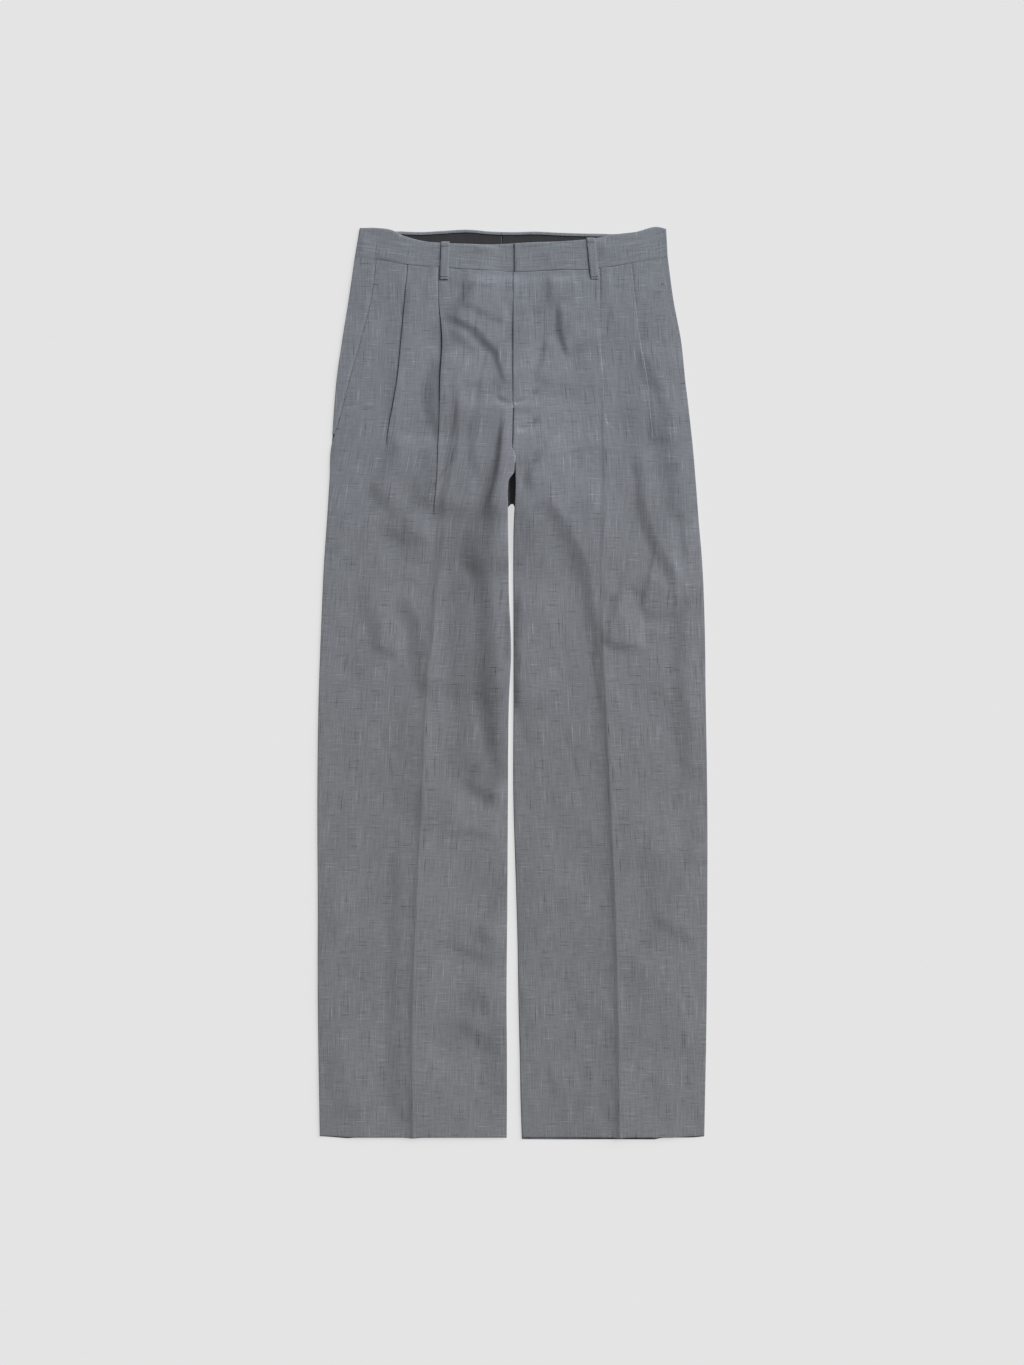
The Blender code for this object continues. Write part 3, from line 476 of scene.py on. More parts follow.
def follow(rows, column, here, key="level"):
    """One column of a table, read at any level."""
    known = np.array([getattr(row, key) for row in rows], float)
    value = np.array([getattr(row, column) for row in rows], float)
    order = np.argsort(known)
    return hermite(known[order], value[order], here)


def line_of(leg, column, y):
    """How far out one line of the leg lies at a level."""
    return follow(leg.sections, column, y)


def centre_edge(leg, y):
    """Distance of a front's centre edge from the centre line."""
    joined = leg.outward * follow(CENTRE_FRONT, "centre", y) + 0.12
    return np.where(y > FRONTS_PART, joined, follow(leg.inseam, "centre", y))


def near_waist(y):
    """0 below 380 mm, 1 at the waist: how far a row bends to the waist seam."""
    return smooth_step((y - 380.0) / (WAIST - 380.0))


def near_hem(y):
    """1 at the hem and 0 from 80 mm above it on: how far a row bends to the hem."""
    return smooth_step((-480.0 - y) / 80.0)


print("outline at the knee:", float(follow(LEFT_SECTIONS, "side", -144.0)), "mm from the centre line")

# %% [markdown]
# ## Folds
#
# Cloth that has been worn, pressed and laid down keeps soft folds.  Each row of the fold tables is one ridge:
# its height, how far it slopes down on its lit side (to the left of someone walking
# along the path) and on its shaded side, how crisp its crest is, the length over which its ends die out, and
# the path.  A third number at a point of the path is the fold's size there.  A narrow row with a negative
# height is a groove.  Folds near the centre run across both fronts, down to the place where they part.
#
# Below the folds lies a very shallow, wide unevenness, the sum of a few waves, because no cloth lies
# perfectly flat.

# %% Folds and unevenness
WAVES = 12
BROAD_WAVES = (50.0, 150.0, 0.26)       # shortest and longest wave, and height
FINE_WAVES = (16.0, 44.0, 0.05)


def smooth_path(points, steps=6):
    """A soft curve through the points; the third number is the fold's size there, or 1 if it isn't given."""
    points = np.array([(*point, 1.0)[:3] for point in points], float)
    known = np.arange(len(points), dtype=float)
    here = np.linspace(0, len(points) - 1, steps * (len(points) - 1) + 1)
    return np.stack([hermite(known, points[:, k], here) for k in range(3)], axis=-1)


def fold_relief(x, y, folds):
    """Sum of height * size * ends * bump; bump falls from 1 on the path to 0 one width away."""
    total = np.zeros_like(x)
    for fold in folds:
        path = smooth_path(fold.path)
        spine, size = path[:, :2], path[:, 2]
        reach = max(fold.light, fold.shade * size.max())
        near = (x > spine[:, 0].min() - reach) & (x < spine[:, 0].max() + reach)
        near &= (y > spine[:, 1].min() - reach) & (y < spine[:, 1].max() + reach)
        step = np.diff(spine, axis=0)
        length = np.hypot(*step.T)
        before = np.concatenate([[0], np.cumsum(length)[:-1]])
        offset = np.stack([x[near], y[near]], axis=-1)[:, None] - spine[:-1]
        t = np.clip((offset * step).sum(-1) / length**2, 0, 1)
        away = offset - t[..., None] * step
        distance = np.hypot(away[..., 0], away[..., 1])
        k = distance.argmin(axis=1)
        row = np.arange(len(k))
        side = step[k, 0] * away[row, k, 1] - step[k, 1] * away[row, k, 0]
        swell = blend(size[k], size[k + 1], t[row, k])
        width = np.where(side > 0, fold.light, fold.shade * swell)
        s = np.clip(distance[row, k] / width, 0, 1)
        along = before[k] + t[row, k] * length[k]
        ends = smooth_step(np.minimum(along, length.sum() - along) / fold.fade)
        bump = (1 - fold.crisp) * (0.5 + 0.5 * np.cos(np.pi * s)) + fold.crisp * (1 - s) ** 2
        total[near] += fold.height * swell * ends * bump
    return total


def undulation(x, y, seed, shortest, longest, height):
    """height * the sum of 12 sine waves / its mean size; the waves are longer along the leg than across."""
    draw = np.random.default_rng(seed)
    total = np.zeros_like(x)
    for _ in range(WAVES):
        angle, phase = draw.uniform(0, 2 * np.pi, 2)
        k = 2 * np.pi / draw.uniform(shortest, longest)
        total += np.sin(k * (math.cos(angle) * x + 0.6 * math.sin(angle) * y) + phase)
    return height * total / math.sqrt(WAVES / 2)


print("longest wave of the unevenness:", BROAD_WAVES[1], "mm")

# %% [markdown]
# ## Thin shells
#
# Every piece of cloth is worked out as the middle surface of the sheet, a grid of points in rows and columns.
# Two copies of the grid, half a thickness above and below it, become its two faces, and a narrow rim closes
# them.  Both UV coordinates are in metres along the cloth, so the weave has its real size on every piece.
# `shell` also notes the size that the sheet has when it is spread out flat.

# %% From points to an object
pieces = {}                     # every object by its name


def make_object(name, points, faces, uv, smooth):
    """One object from points in millimetres, quads, one UV pair a point and a smooth flag a face."""
    mesh = bpy.data.meshes.new(name)
    faces = np.asarray(faces, np.int32)
    mesh.vertices.add(len(points))
    mesh.vertices.foreach_set("co", (np.asarray(points) * METRE).astype(np.float32).ravel())
    mesh.loops.add(faces.size)
    mesh.loops.foreach_set("vertex_index", faces.ravel())
    mesh.polygons.add(len(faces))
    mesh.polygons.foreach_set("loop_start", np.arange(0, faces.size, 4, dtype=np.int32))
    mesh.polygons.foreach_set("use_smooth", np.asarray(smooth, bool))
    layer = mesh.uv_layers.new(name="cloth")
    layer.data.foreach_set("uv", (np.asarray(uv) * METRE)[faces.ravel()].astype(np.float32).ravel())
    mesh.update(calc_edges=True)
    mesh.validate()
    pieces[name] = bpy.data.objects.new(name, mesh)
    bpy.context.scene.collection.objects.link(pieces[name])
    return pieces[name]


print("points are given in millimetres, and times", METRE, "they are Blender's metres")

# %% From a grid to a shell
cuts = {}                       # width, length and area of every sheet, in metres


def grid_normals(grid):
    """Unit normals: the cross product of the steps across and down the grid."""
    normal = np.cross(np.gradient(grid, axis=1), np.gradient(grid, axis=0))
    return normal / np.maximum(np.linalg.norm(normal, axis=-1, keepdims=True), 1e-9)


def cut_of(grid):
    """Flat width and length in metres, along the longest row and column, and area in square metres."""
    across = grid[:, 1:] - grid[:, :-1]
    down = grid[1:] - grid[:-1]
    width = np.linalg.norm(across, axis=-1).sum(axis=1).max()
    length = np.linalg.norm(down, axis=-1).sum(axis=0).max()
    area = np.linalg.norm(np.cross(across[:-1], down[:, :-1]), axis=-1).sum()
    return float(width) * METRE, float(length) * METRE, float(area) * METRE**2


def shell(name, grid, uv, wall):
    """A closed sheet of cloth of that wall round a grid whose normals face up, or away from the wearer."""
    rows, columns = grid.shape[:2]
    normal = grid_normals(grid)
    faces_of_cloth = (grid + normal * wall / 2, grid - normal * wall / 2)
    points = np.concatenate([face.reshape(-1, 3) for face in faces_of_cloth])
    top = np.arange(rows * columns).reshape(rows, columns)
    low = top + rows * columns
    upper = np.stack([top[:-1, :-1], top[:-1, 1:], top[1:, 1:], top[1:, :-1]], -1).reshape(-1, 4)
    lower = np.stack([low[:-1, :-1], low[1:, :-1], low[1:, 1:], low[:-1, 1:]], -1).reshape(-1, 4)
    ring = np.concatenate([top[0, :-1], top[:-1, -1], top[-1, :0:-1], top[:0:-1, 0]])
    after = np.roll(ring, -1)
    rim = np.stack([after, ring, ring + rows * columns, after + rows * columns], -1)
    smooth = np.arange(len(upper) + len(lower) + len(rim)) < len(upper) + len(lower)
    uv = np.tile(uv.reshape(-1, 2), (2, 1))
    piece = make_object(name, points, np.concatenate([upper, lower, rim]), uv, smooth)
    border = np.zeros(len(points), bool)
    border[ring] = border[ring + rows * columns] = True
    ends = np.empty(2 * len(piece.data.edges), np.int32)
    piece.data.edges.foreach_get("vertices", ends)
    sharp = piece.data.attributes.new("sharp_edge", "BOOLEAN", "EDGE")
    sharp.data.foreach_set("value", border[ends.reshape(-1, 2)].all(axis=1))
    cuts[name] = cut_of(grid)
    print(name, (rows, columns), "points,", 2 * len(smooth), "triangles,", round(cuts[name][2], 4), "m2")


def turn_if(turned, grid, uv):
    """Turns the order of the columns round, so that the normals face up on both legs."""
    return (grid[:, ::-1], uv[:, ::-1]) if turned else (grid, uv)


print("a shell has two faces", CLOTH, "mm apart and a rim")

# %% [markdown]
# ## The front panels
#
# A real front is one piece of cloth.  At the waist it is folded twice, so that three layers lie on each other
# at each pleat, and the folds open into soft ridges lower down.  The grid follows the cloth: from the side it
# runs in under a pleat's fold edge, turns back, turns again and goes on as the top layer.  The same columns
# spread out flat where the pleat has opened.  Along every edge the cloth rolls down, because a turned or sewn
# edge is never a sharp cut.

# %% How a pleat lies
ROLL = np.radians([0, 24, 46, 68, 90])          # angles of the points round a rolled edge
ROLL_REACH = 1 - np.cos(ROLL)
ROLL_DROP = 1 - np.sin(ROLL)
ROLLED = len(ROLL)                              # points in one rolled edge
TURN = np.linspace(-np.pi / 2, np.pi / 2, 6)    # and round one turn of a pleat
ONE = np.ones(len(TURN))
TURN_RADIUS = PLEAT_LAYER / 2
PLEAT_REACH = np.concatenate([[0, 0.5], ONE, [0.5], 0 * ONE, [0.35, 0.7, 1]])
PLEAT_OFFSET = TURN_RADIUS * np.concatenate([[1, 1], 1 + np.cos(TURN), [1], 1 - np.cos(TURN), [1, 1, 1]])
PLEAT_HEIGHT = TURN_RADIUS * np.concatenate([[0, 0], 1 + np.sin(TURN), [2], 3 + np.sin(TURN), [4, 4, 4]])
PLEAT_LEAST = 1.5               # overlap left where a pleat starts to open
PLEAT_OPENS = 34.0              # it opens over this length
TOP_SETTLE = 36.0               # the top layer comes down over this distance
PLEAT_PRESSED = 0.24            # share of the layer height where the cloth is pressed flat
PLEAT_STANDS = 470.0            # below this level a pleat starts to stand up


def pleat_overlap(pleat, y):
    """Widest at the waist, least where the pleat opens."""
    share = (y - pleat.end_level) / (WAIST - pleat.end_level)
    return blend(PLEAT_LEAST, pleat.waist_overlap, np.clip(share, 0.0, 1.0))


def pleat_thickness(pleat, y):
    """Share of the full layer height: pressed thin at the waist, thickest below it, thin again lower down."""
    stands = smooth_step((PLEAT_STANDS - y) / 50.0) * (1 - smooth_step((pleat.thin_below - y) / 60.0 + 0.5))
    return blend(PLEAT_PRESSED, pleat.thick, stands)


def pocket_underlap(leg, y):
    """How far the pocket facing runs in under the slanted mouth: 5 mm at its foot and 14 mm at the waist."""
    return 5.0 + 9.0 * np.clip((y - leg.pocket_end) / (WAIST - leg.pocket_end), 0.0, 1.0)


print("one pleat has", len(PLEAT_REACH), "columns and", len(TURN), "points round a turn")

# %% What lifts the front
WAIST_LIFT = 1.2                # the waist seam lifts the front by this many layers,
WAIST_PRESSED = 2.1             # and by up to this much less where it is pressed over a pleat
POCKET_LIFT = 0.12
POCKET_GAPES = ((424.0, 9.0), (388.0, 14.0))    # levels where the mouth stands open, and half their lengths
GAPE_LIFT = 0.25
FLY_LIFT = 0.85
CROWN = 0.5                     # the middle of a leg lies this much higher than its edges
CREASE_LIT, CREASE_SHADED = 70.0, 5.5           # how far a pressed crease slopes down on either side
CREASE_ROUND = 0.3
SHARED_BELOW = 170.0            # the right front's folds die out on the left leg this far below the parting


def seam_lift(leg, out, y, centre, side):
    """LAYER * the highest of the lifts over the waist's seam allowance, the pocket's facing and the fly's."""
    low = np.zeros_like(y)
    for pleat in leg.pleats:
        fold_edge = line_of(leg, pleat.column, y)
        stack = pleat_overlap(pleat, y) + PLEAT_LAYER + 4.0
        below = smooth_step((fold_edge + 3.0 - out) / 4) * smooth_step((out - fold_edge + stack + 10) / 10)
        low = np.maximum(low, below)
    pressed = sum(pleat_thickness(pleat, y) for pleat in leg.pleats) / 2
    at_seam = smooth_step((y - 430.0) / 68.0)
    waist = at_seam * (WAIST_LIFT - WAIST_PRESSED * pressed * low) * smooth_step((side - out + 10.0) / 70.0)
    from_mouth = out - line_of(leg, "edge", y) + pocket_underlap(leg, y)
    gape = sum(np.exp(-((y - level) / half) ** 2) for level, half in POCKET_GAPES)
    pocket = (POCKET_LIFT + GAPE_LIFT * gape) * smooth_step((from_mouth + 16.0) / 12)
    pocket = pocket * smooth_step((y - leg.pocket_end + 34) / 20)
    if leg.outward < 0:
        waist = waist * (0.55 + 0.45 * smooth_step((out - centre) / FLY_WIDTH))
        return LAYER * np.maximum(waist, pocket), at_seam
    beyond_fly = smooth_step((out - centre - 10.0) / (FLY_WIDTH - 10.0))
    fly = FLY_LIFT * smooth_step((y - FLY_END + 8) / 10) * (1 - beyond_fly)
    return LAYER * np.maximum(np.maximum(waist, pocket), fly), at_seam


def crease_ridge(leg, out, y):
    """crease height * exp(-distance / slope length), a little rounded on top, easing in at its upper end."""
    from_crease = leg.outward * (out - line_of(leg, "crease", y))
    rounded = np.sqrt(from_crease**2 + CREASE_ROUND**2)
    starts = smooth_step((leg.crease_top - y) / 70.0)
    slope = np.where(from_crease > 0, CREASE_LIT, CREASE_SHADED)
    return starts * leg.crease_height * np.exp(-rounded / slope)


def worn_surface(leg, x, y):
    """The leg's folds and waves, and the other leg's as far as both fronts are one surface."""
    uneven = undulation(x, y, leg.seed, *BROAD_WAVES) + undulation(x, y, leg.seed + 1, *FINE_WAVES)
    if leg.outward > 0:
        other = smooth_step((y - FRONTS_PART + SHARED_BELOW) / SHARED_BELOW) * fold_relief(x, y, RIGHT_FOLDS)
        shared = undulation(x, y, RIGHT_LEG.seed, *BROAD_WAVES)
        uneven = blend(uneven, shared, smooth_step((y - FRONTS_PART + 40.0) / 60.0))
    else:
        other = smooth_step((y - FRONTS_PART + 10.0) / 20.0) * fold_relief(x, y, LEFT_FOLDS)
    return fold_relief(x, y, FOLDS[leg.name]) + other + uneven


print("the waist seam lifts a front by", round(LAYER * WAIST_LIFT, 2), "mm")

# %% Height of the front
LOWEST = -0.25                  # a hollow goes no deeper than this below the resting cloth
SIDE_ROLL, MOUTH_ROLL = (0.2, 1.4), (0.04, 1.2)                         # drop and reach of a rolled edge
PARTED_ROLL, JOINED_ROLL, FLY_ROLL = (0.6, 1.5), (1.6, 2.6), (0.25, 1.2)


def front_height(leg, out, y):
    """Middle of the cloth: rest height + lift over seams + crown + crease + folds + unevenness."""
    side = line_of(leg, "side", y)
    centre = centre_edge(leg, y)
    lift, at_seam = seam_lift(leg, out, y, centre, side)
    across = (out - centre) / (side - centre)
    crown = CROWN * (1 - np.clip(np.abs(2 * across - 1), 0, 1) ** 4) * (1 - at_seam)
    held = smooth_step((WAIST - y) / 14)
    worn = worn_surface(leg, leg.outward * out, y) * held
    return FRONT_MIDDLE + lift + np.maximum(crown + crease_ridge(leg, out, y) + worn, LOWEST)


def edge_drop(leg, side_edge, y):
    """How far the cloth goes down at its outer or centre edge, and over which distance."""
    if side_edge:
        mouth = smooth_step((y - leg.pocket_end) / 12.0)
        return tuple(blend(*ends, mouth) for ends in zip(SIDE_ROLL, MOUTH_ROLL))
    joined = smooth_step((y - FRONTS_PART) / 10.0)
    fly = smooth_step((y - FLY_END + 2.0) / 10.0)
    return tuple(blend(blend(low, high, joined), top, fly)
                 for low, high, top in zip(PARTED_ROLL, JOINED_ROLL, FLY_ROLL))


print("crease heights:", RIGHT_LEG.crease_height, "and", LEFT_LEG.crease_height, "mm")

# %% Rows and columns of a front
SIDE_STEPS, BETWEEN_STEPS, CREASE_STEPS, CENTRE_STEPS = 26, 17, 8, 42
FRONT_COLUMNS = 2 * (ROLLED + len(PLEAT_REACH)) - 3 + SIDE_STEPS + BETWEEN_STEPS + CREASE_STEPS + CENTRE_STEPS
FINE_ROW, FINE_ABOVE, LOWER_ROWS = 2.7, 60.0, 138


def front_levels():
    """Levels of the rows: close together above the knee, wider below, and a roll at both ends."""
    top = WAIST - 1.5 * ROLL_REACH
    upper = np.arange(top[-1] - 1.5, FINE_ABOVE, -FINE_ROW)
    foot = HEM + 2.0 * ROLL_REACH
    lower = np.linspace(upper[-1], foot[-1], LOWER_ROWS)
    return np.concatenate([top, upper, lower[1:-1], foot[::-1]])[:, None]


def front_columns(leg, y, rows):
    """Distance out and height above the cloth below, for each point of each row."""
    edge = line_of(leg, "edge", y)
    crease = line_of(leg, "crease", y)
    centre = centre_edge(leg, y)
    if leg.outward < 0:
        centre = centre - FLY_UNDERLAP * smooth_step((y - FLY_END + 4) / 8)
    side_reach = edge_drop(leg, True, y)[1]
    centre_reach = edge_drop(leg, False, y)[1]
    parts = [edge[:, :ROLLED] - side_reach[:, :ROLLED] * ROLL_REACH]
    heights = [0 * parts[0]]
    start, carry, steps = parts[0][:, -1:], 0 * parts[0][:, -1:], SIDE_STEPS
    for pleat in leg.pleats:
        first = sum(part.shape[1] for part in parts)
        level = y[:, first + steps - 1:first + steps - 1 + len(PLEAT_REACH)]
        folded = smooth_step((rows - pleat.end_level) / PLEAT_OPENS + 0.5)
        overlap = pleat_overlap(pleat, level)
        flat = np.linspace(pleat.flat_from, pleat.flat_to, len(PLEAT_REACH))
        inward = folded * (overlap * PLEAT_REACH + PLEAT_OFFSET) + (1 - folded) * flat
        stack = line_of(leg, pleat.column, level) - inward
        span = blend(start, stack[:, :1], np.linspace(0, 1, steps + 1)[1:-1])
        fall = 1 - smooth_step((start - span) / TOP_SETTLE)
        parts += [span, stack]
        layers = folded * pleat_thickness(pleat, level)
        heights += [carry * fall, layers * PLEAT_HEIGHT]
        start, carry, steps = stack[:, -1:], layers[:, -1:] * PLEAT_HEIGHT[-1], BETWEEN_STEPS
    first = sum(part.shape[1] for part in parts)
    crease_out = np.minimum(crease[:, first:first + 1], start - 3.0)
    end = centre[:, -1:] + centre_reach[:, -1:]
    closing = 1 - np.linspace(1, 0, CREASE_STEPS + 1)[1:] ** 1.35
    opening = np.linspace(0, 1, CENTRE_STEPS + 1)[1:] ** 1.25
    parts.append(np.hstack([blend(start, crease_out, closing), blend(crease_out, end, opening)]))
    heights.append(carry * (1 - smooth_step((start - parts[-1]) / TOP_SETTLE)))
    parts.append(centre[:, -ROLLED + 1:] + centre_reach[:, -ROLLED + 1:] * ROLL_REACH[-2::-1])
    heights.append(0 * parts[-1])
    return np.hstack(parts), np.hstack(heights)


print("a front has", len(front_levels()), "rows of", FRONT_COLUMNS, "points")

# %% The two fronts
FITTINGS = 4                    # each round brings the rows closer to the seams they follow


def fit_waist_and_hem(leg, out, rows):
    """Level of each point: the top row follows the waistband's seam and the bottom row the hem."""
    seam = follow(BAND, "seam", leg.outward * out, key="x") - SEAM_GAP
    side = line_of(leg, "side", rows)
    crease = line_of(leg, "crease", rows)
    rise = 2.0 * smooth_step((out / side - 0.8) / 0.2) - 0.9 * np.exp(-((out - crease) / 7.0) ** 2)
    return rows + (seam - WAIST) * near_waist(rows) + rise * near_hem(rows)


def front_grid(leg):
    """The middle surface of one front, and its UV: distance from the crease line, and level."""
    rows = front_levels()
    level = np.repeat(rows, FRONT_COLUMNS, axis=1)
    for _ in range(FITTINGS):
        out, height = front_columns(leg, level, rows)
        level = fit_waist_and_hem(leg, out, rows)
    z = front_height(leg, out, level) + height
    drop, reach = edge_drop(leg, True, level[:, :1])
    t = np.clip((line_of(leg, "edge", level) - out) / reach, 0, 1)
    z[:, :ROLLED] -= (drop * (1 - np.sqrt(1 - (1 - t) ** 2)))[:, :ROLLED]
    drop = edge_drop(leg, False, level[:, -1:])[0]
    if leg.outward < 0:         # the right front's edge lies under the left one's, so it goes down less
        drop = drop * (0.3 - 0.28 * smooth_step((level[:, -1:] - FRONTS_PART) / 10.0))
    z[:, -ROLLED:] -= drop * ROLL_DROP[::-1]
    z[:ROLLED] -= 0.4 * ROLL_DROP[:, None]
    z[-ROLLED:] -= 0.4 * ROLL_DROP[::-1, None]
    grid = np.stack([leg.outward * out, level, z], axis=-1)
    uv = np.stack([leg.outward * (out - line_of(leg, "crease", level)), level], axis=-1)
    return turn_if(leg.outward < 0, grid, uv)


for leg in LEGS:
    shell("suiting_front_" + leg.name, *front_grid(leg), CLOTH)

# %% [markdown]
# ## The back panels
#
# The backs lie flat on the table, and their edges rise to meet the edges of the fronts.  Only these edges
# show: in the slot at the crotch, and along the hems, where a back hangs up to two millimetres below its
# front on the inner side and ends above it at the outer side.

# %% Back panels
BACK_HEM = {                    # distance out, and how far the back's hem hangs below the drawn hem
    "right": [(0, 0.3), (194, 0.3), (204, 1.0), (214, 0.1), (231, -1.3), (245, -1.9)],
    "left": [(0, 2.0), (60, 2.4), (120, 2.2), (178, 2.4), (183, 0.1), (222, 0.1), (232, -1.1), (245, -1.9)],
}
BACK_ROLL = 3.0                 # reach of the roll along the edges
BACK_INSIDE = 0.3               # the sides lie this far inside the sides of the front
EDGE_BELOW = 0.55               # the edges of a back end this far below the middle of the front


def back_seam(x):
    """Level of the seam between the waistband and the backs: a shallow arc."""
    return 524.0 - 9.0 * (1 - np.clip(np.abs(x) / SIDE_REFERENCE, 0, 1) ** 2)


def centre_back(y):
    """The centre back seam, straight from the waistband to the crotch."""
    return CENTRE_BACK_FORK + (CENTRE_BACK_TOP - CENTRE_BACK_FORK) * (y - CROTCH) / (WAIST - CROTCH)


def back_grid(leg):
    """A flat sheet between the side and the inseam or centre back seam, with a soft roll up along both."""
    rows = np.concatenate([np.linspace(WAIST, CROTCH, 60), np.linspace(CROTCH - 6.0, HEM, 120)])[:, None]
    side_level = rows + (back_seam(SIDE_REFERENCE) - SEAM_GAP - WAIST) * near_waist(rows)
    side = line_of(leg, "side", side_level) - BACK_INSIDE
    inner = follow(leg.inseam, "centre", rows) + SEAM_GAP
    inner = np.where(rows >= CROTCH, leg.outward * centre_back(rows) + CENTRE_GAP, inner)
    edge = BACK_ROLL * ROLL_REACH
    span = np.linspace(0, 1, 31)[1:-1]
    start, end = side - BACK_ROLL, inner + BACK_ROLL
    out = np.hstack([side - edge, blend(start, end, span), inner + edge[::-1]])
    level = rows + (back_seam(leg.outward * out) - SEAM_GAP - WAIST) * near_waist(rows)
    level = level - np.interp(out[-1], *np.array(BACK_HEM[leg.name], float).T) * near_hem(rows)
    lift_to_front = BACK_MIDDLE + EDGE_BELOW
    outer_lift = front_height(leg, side, rows) - lift_to_front
    below_crotch = smooth_step((CROTCH - 10.0 - rows) / 10.0)
    inner_lift = 0.25 + (front_height(leg, inner, rows) - lift_to_front - 0.25) * below_crotch
    z = BACK_MIDDLE + np.hstack([outer_lift * ROLL_DROP, span * 0 * rows, inner_lift * ROLL_DROP[::-1]])
    grid = np.stack([leg.outward * out, level, z], axis=-1)
    return turn_if(leg.outward < 0, grid, grid[..., :2])


for leg in LEGS:
    shell("suiting_back_" + leg.name, *back_grid(leg), CLOTH)

# %% [markdown]
# ## Pocket facings and the crotch lining
#
# A slanted side pocket leaves a wedge between its mouth and the side seam.  What shows there is the pocket's
# facing, cut from the suiting.  Inside the slot between the fronts, a lining covers the place where four
# seams meet.  The slot is dark with shade, and the lining's grey is painted paler to make up for that shade.

# %% Pocket facings and crotch lining
LINING_WALL = 0.45


def pocket_grid(leg):
    """The wedge between mouth and side: it runs in under the front, and rolls down along the side."""
    rows = np.linspace(WAIST, leg.pocket_end, 70)[:, None]
    share = np.concatenate([[0, 0.008, 0.02, 0.04, 0.08], np.linspace(0.14, 1, 25)])
    level = np.repeat(rows, len(share), axis=1)
    for _ in range(FITTINGS):
        side = line_of(leg, "side", level)
        edge = line_of(leg, "edge", level)
        out = blend(side, edge - pocket_underlap(leg, level), share)
        level = fit_waist_and_hem(leg, out, rows)
    from_side = np.clip((side - out) / 0.8, 0, 1)
    near_mouth = smooth_step((edge + 5.0 - out) / 5.0) if leg.outward < 0 else 1.0
    z = front_height(leg, out, level) - MOUTH_DIP * near_mouth
    z = z - 0.15 * (1 - np.sqrt(1 - (1 - from_side) ** 2))
    grid = np.stack([leg.outward * out, level, z], axis=-1)
    return turn_if(leg.outward < 0, grid, grid[..., :2])


def fork_grid():
    """A strip over the crotch seams, 26 mm wide and 18 mm at its foot, a little lower along its middle."""
    y = np.linspace(296.0, 220.0, 50)[:, None]
    across = np.linspace(1, -1, 25)
    half = 13.0 - 4.0 * smooth_step((245.0 - y) / 25.0)
    x = centre_back(y) + half * across
    z = FORK_MIDDLE + 0.25 * np.abs(across) ** 0.7 + 0.12 * np.sin(y / 3.1) * (1 - across**2)
    return np.stack([x, y + 0 * x, z], axis=-1)


for leg in LEGS:
    shell("suiting_pocket_facing_" + leg.name, *pocket_grid(leg), CLOTH)
shell("dark_crotch_lining", fork_grid(), fork_grid()[..., :2], LINING_WALL)

# %% [markdown]
# ## The waistband
#
# Each half of the band is one strip of suiting round a firm tape, folded over along its top edge.  It runs
# from the centre front, round the side, to the centre back seam, where the dark facing inside it can be seen.
# The grid's rows go up the outside of the band, round the top fold and a little way down the inside.

# %% The way round the waist
BAND_FRONT, BAND_SIDE, BAND_BACK = 3.36, 1.8, 0.42      # heights of the band above the table
BAND_RADIUS = (BAND_SIDE - BAND_BACK) / 2               # of the fold at the side
BAND_ROLL = 1.1                 # reach of the rolled ends of the strip


def band_place(leg):
    """Round the waist: distance out, height, the normal's two parts, and 0 on the front to 1 on the back."""
    begin = 1.8 if leg.outward > 0 else -1.5 - FLY_UNDERLAP
    finish = leg.outward * CENTRE_BACK_TOP + CENTRE_GAP
    roll = BAND_ROLL * ROLL_REACH
    middle, end = np.linspace(begin + BAND_ROLL, 160, 72)[1:], np.linspace(160, SIDE_REFERENCE, 18)[1:]
    front = np.hstack([begin + roll, middle, end])
    back = np.hstack([np.linspace(SIDE_REFERENCE, finish + BAND_ROLL, 60), finish + roll[-2::-1]])
    angle = np.linspace(np.pi / 2, -np.pi / 2, 11)[1:-1]

    def around(on_front, on_side, on_back):
        return np.hstack([on_front + 0 * front, on_side + 0 * angle, on_back + 0 * back])

    z_front = blend(BAND_SIDE, BAND_FRONT, smooth_step((SIDE_REFERENCE - front) / 60.0))
    if leg.outward < 0:
        z_front = z_front - LAYER * (1 - smooth_step((front - 12.0) / 26.0))
    z_front = z_front - 0.75 * np.clip(1 - (front - begin) / BAND_ROLL, 0, 1) ** 2
    z_back = BAND_BACK + 0.2 * np.clip(1 - (back - finish) / BAND_ROLL, 0, 1) ** 2
    out = around(front, SIDE_REFERENCE, back)
    bulge = around(0, BAND_RADIUS * np.cos(angle), 0)
    z = around(z_front, BAND_BACK + BAND_RADIUS * (1 + np.sin(angle)), z_back)
    normal = around(0, np.cos(angle), 0), around(1, np.sin(angle), -1)
    return out, bulge, z, normal, around(0, (1 - np.sin(angle)) / 2, 1)


print("points round half the waist:", len(band_place(LEFT_LEG)[0]))

# %% Waistband and its facing
BAND_WALL = 0.8
SEAM_ROLL = 1.2                 # reach of the roll along the seam
FACING_COLUMNS, FACING_HEIGHT = 90, 1.18


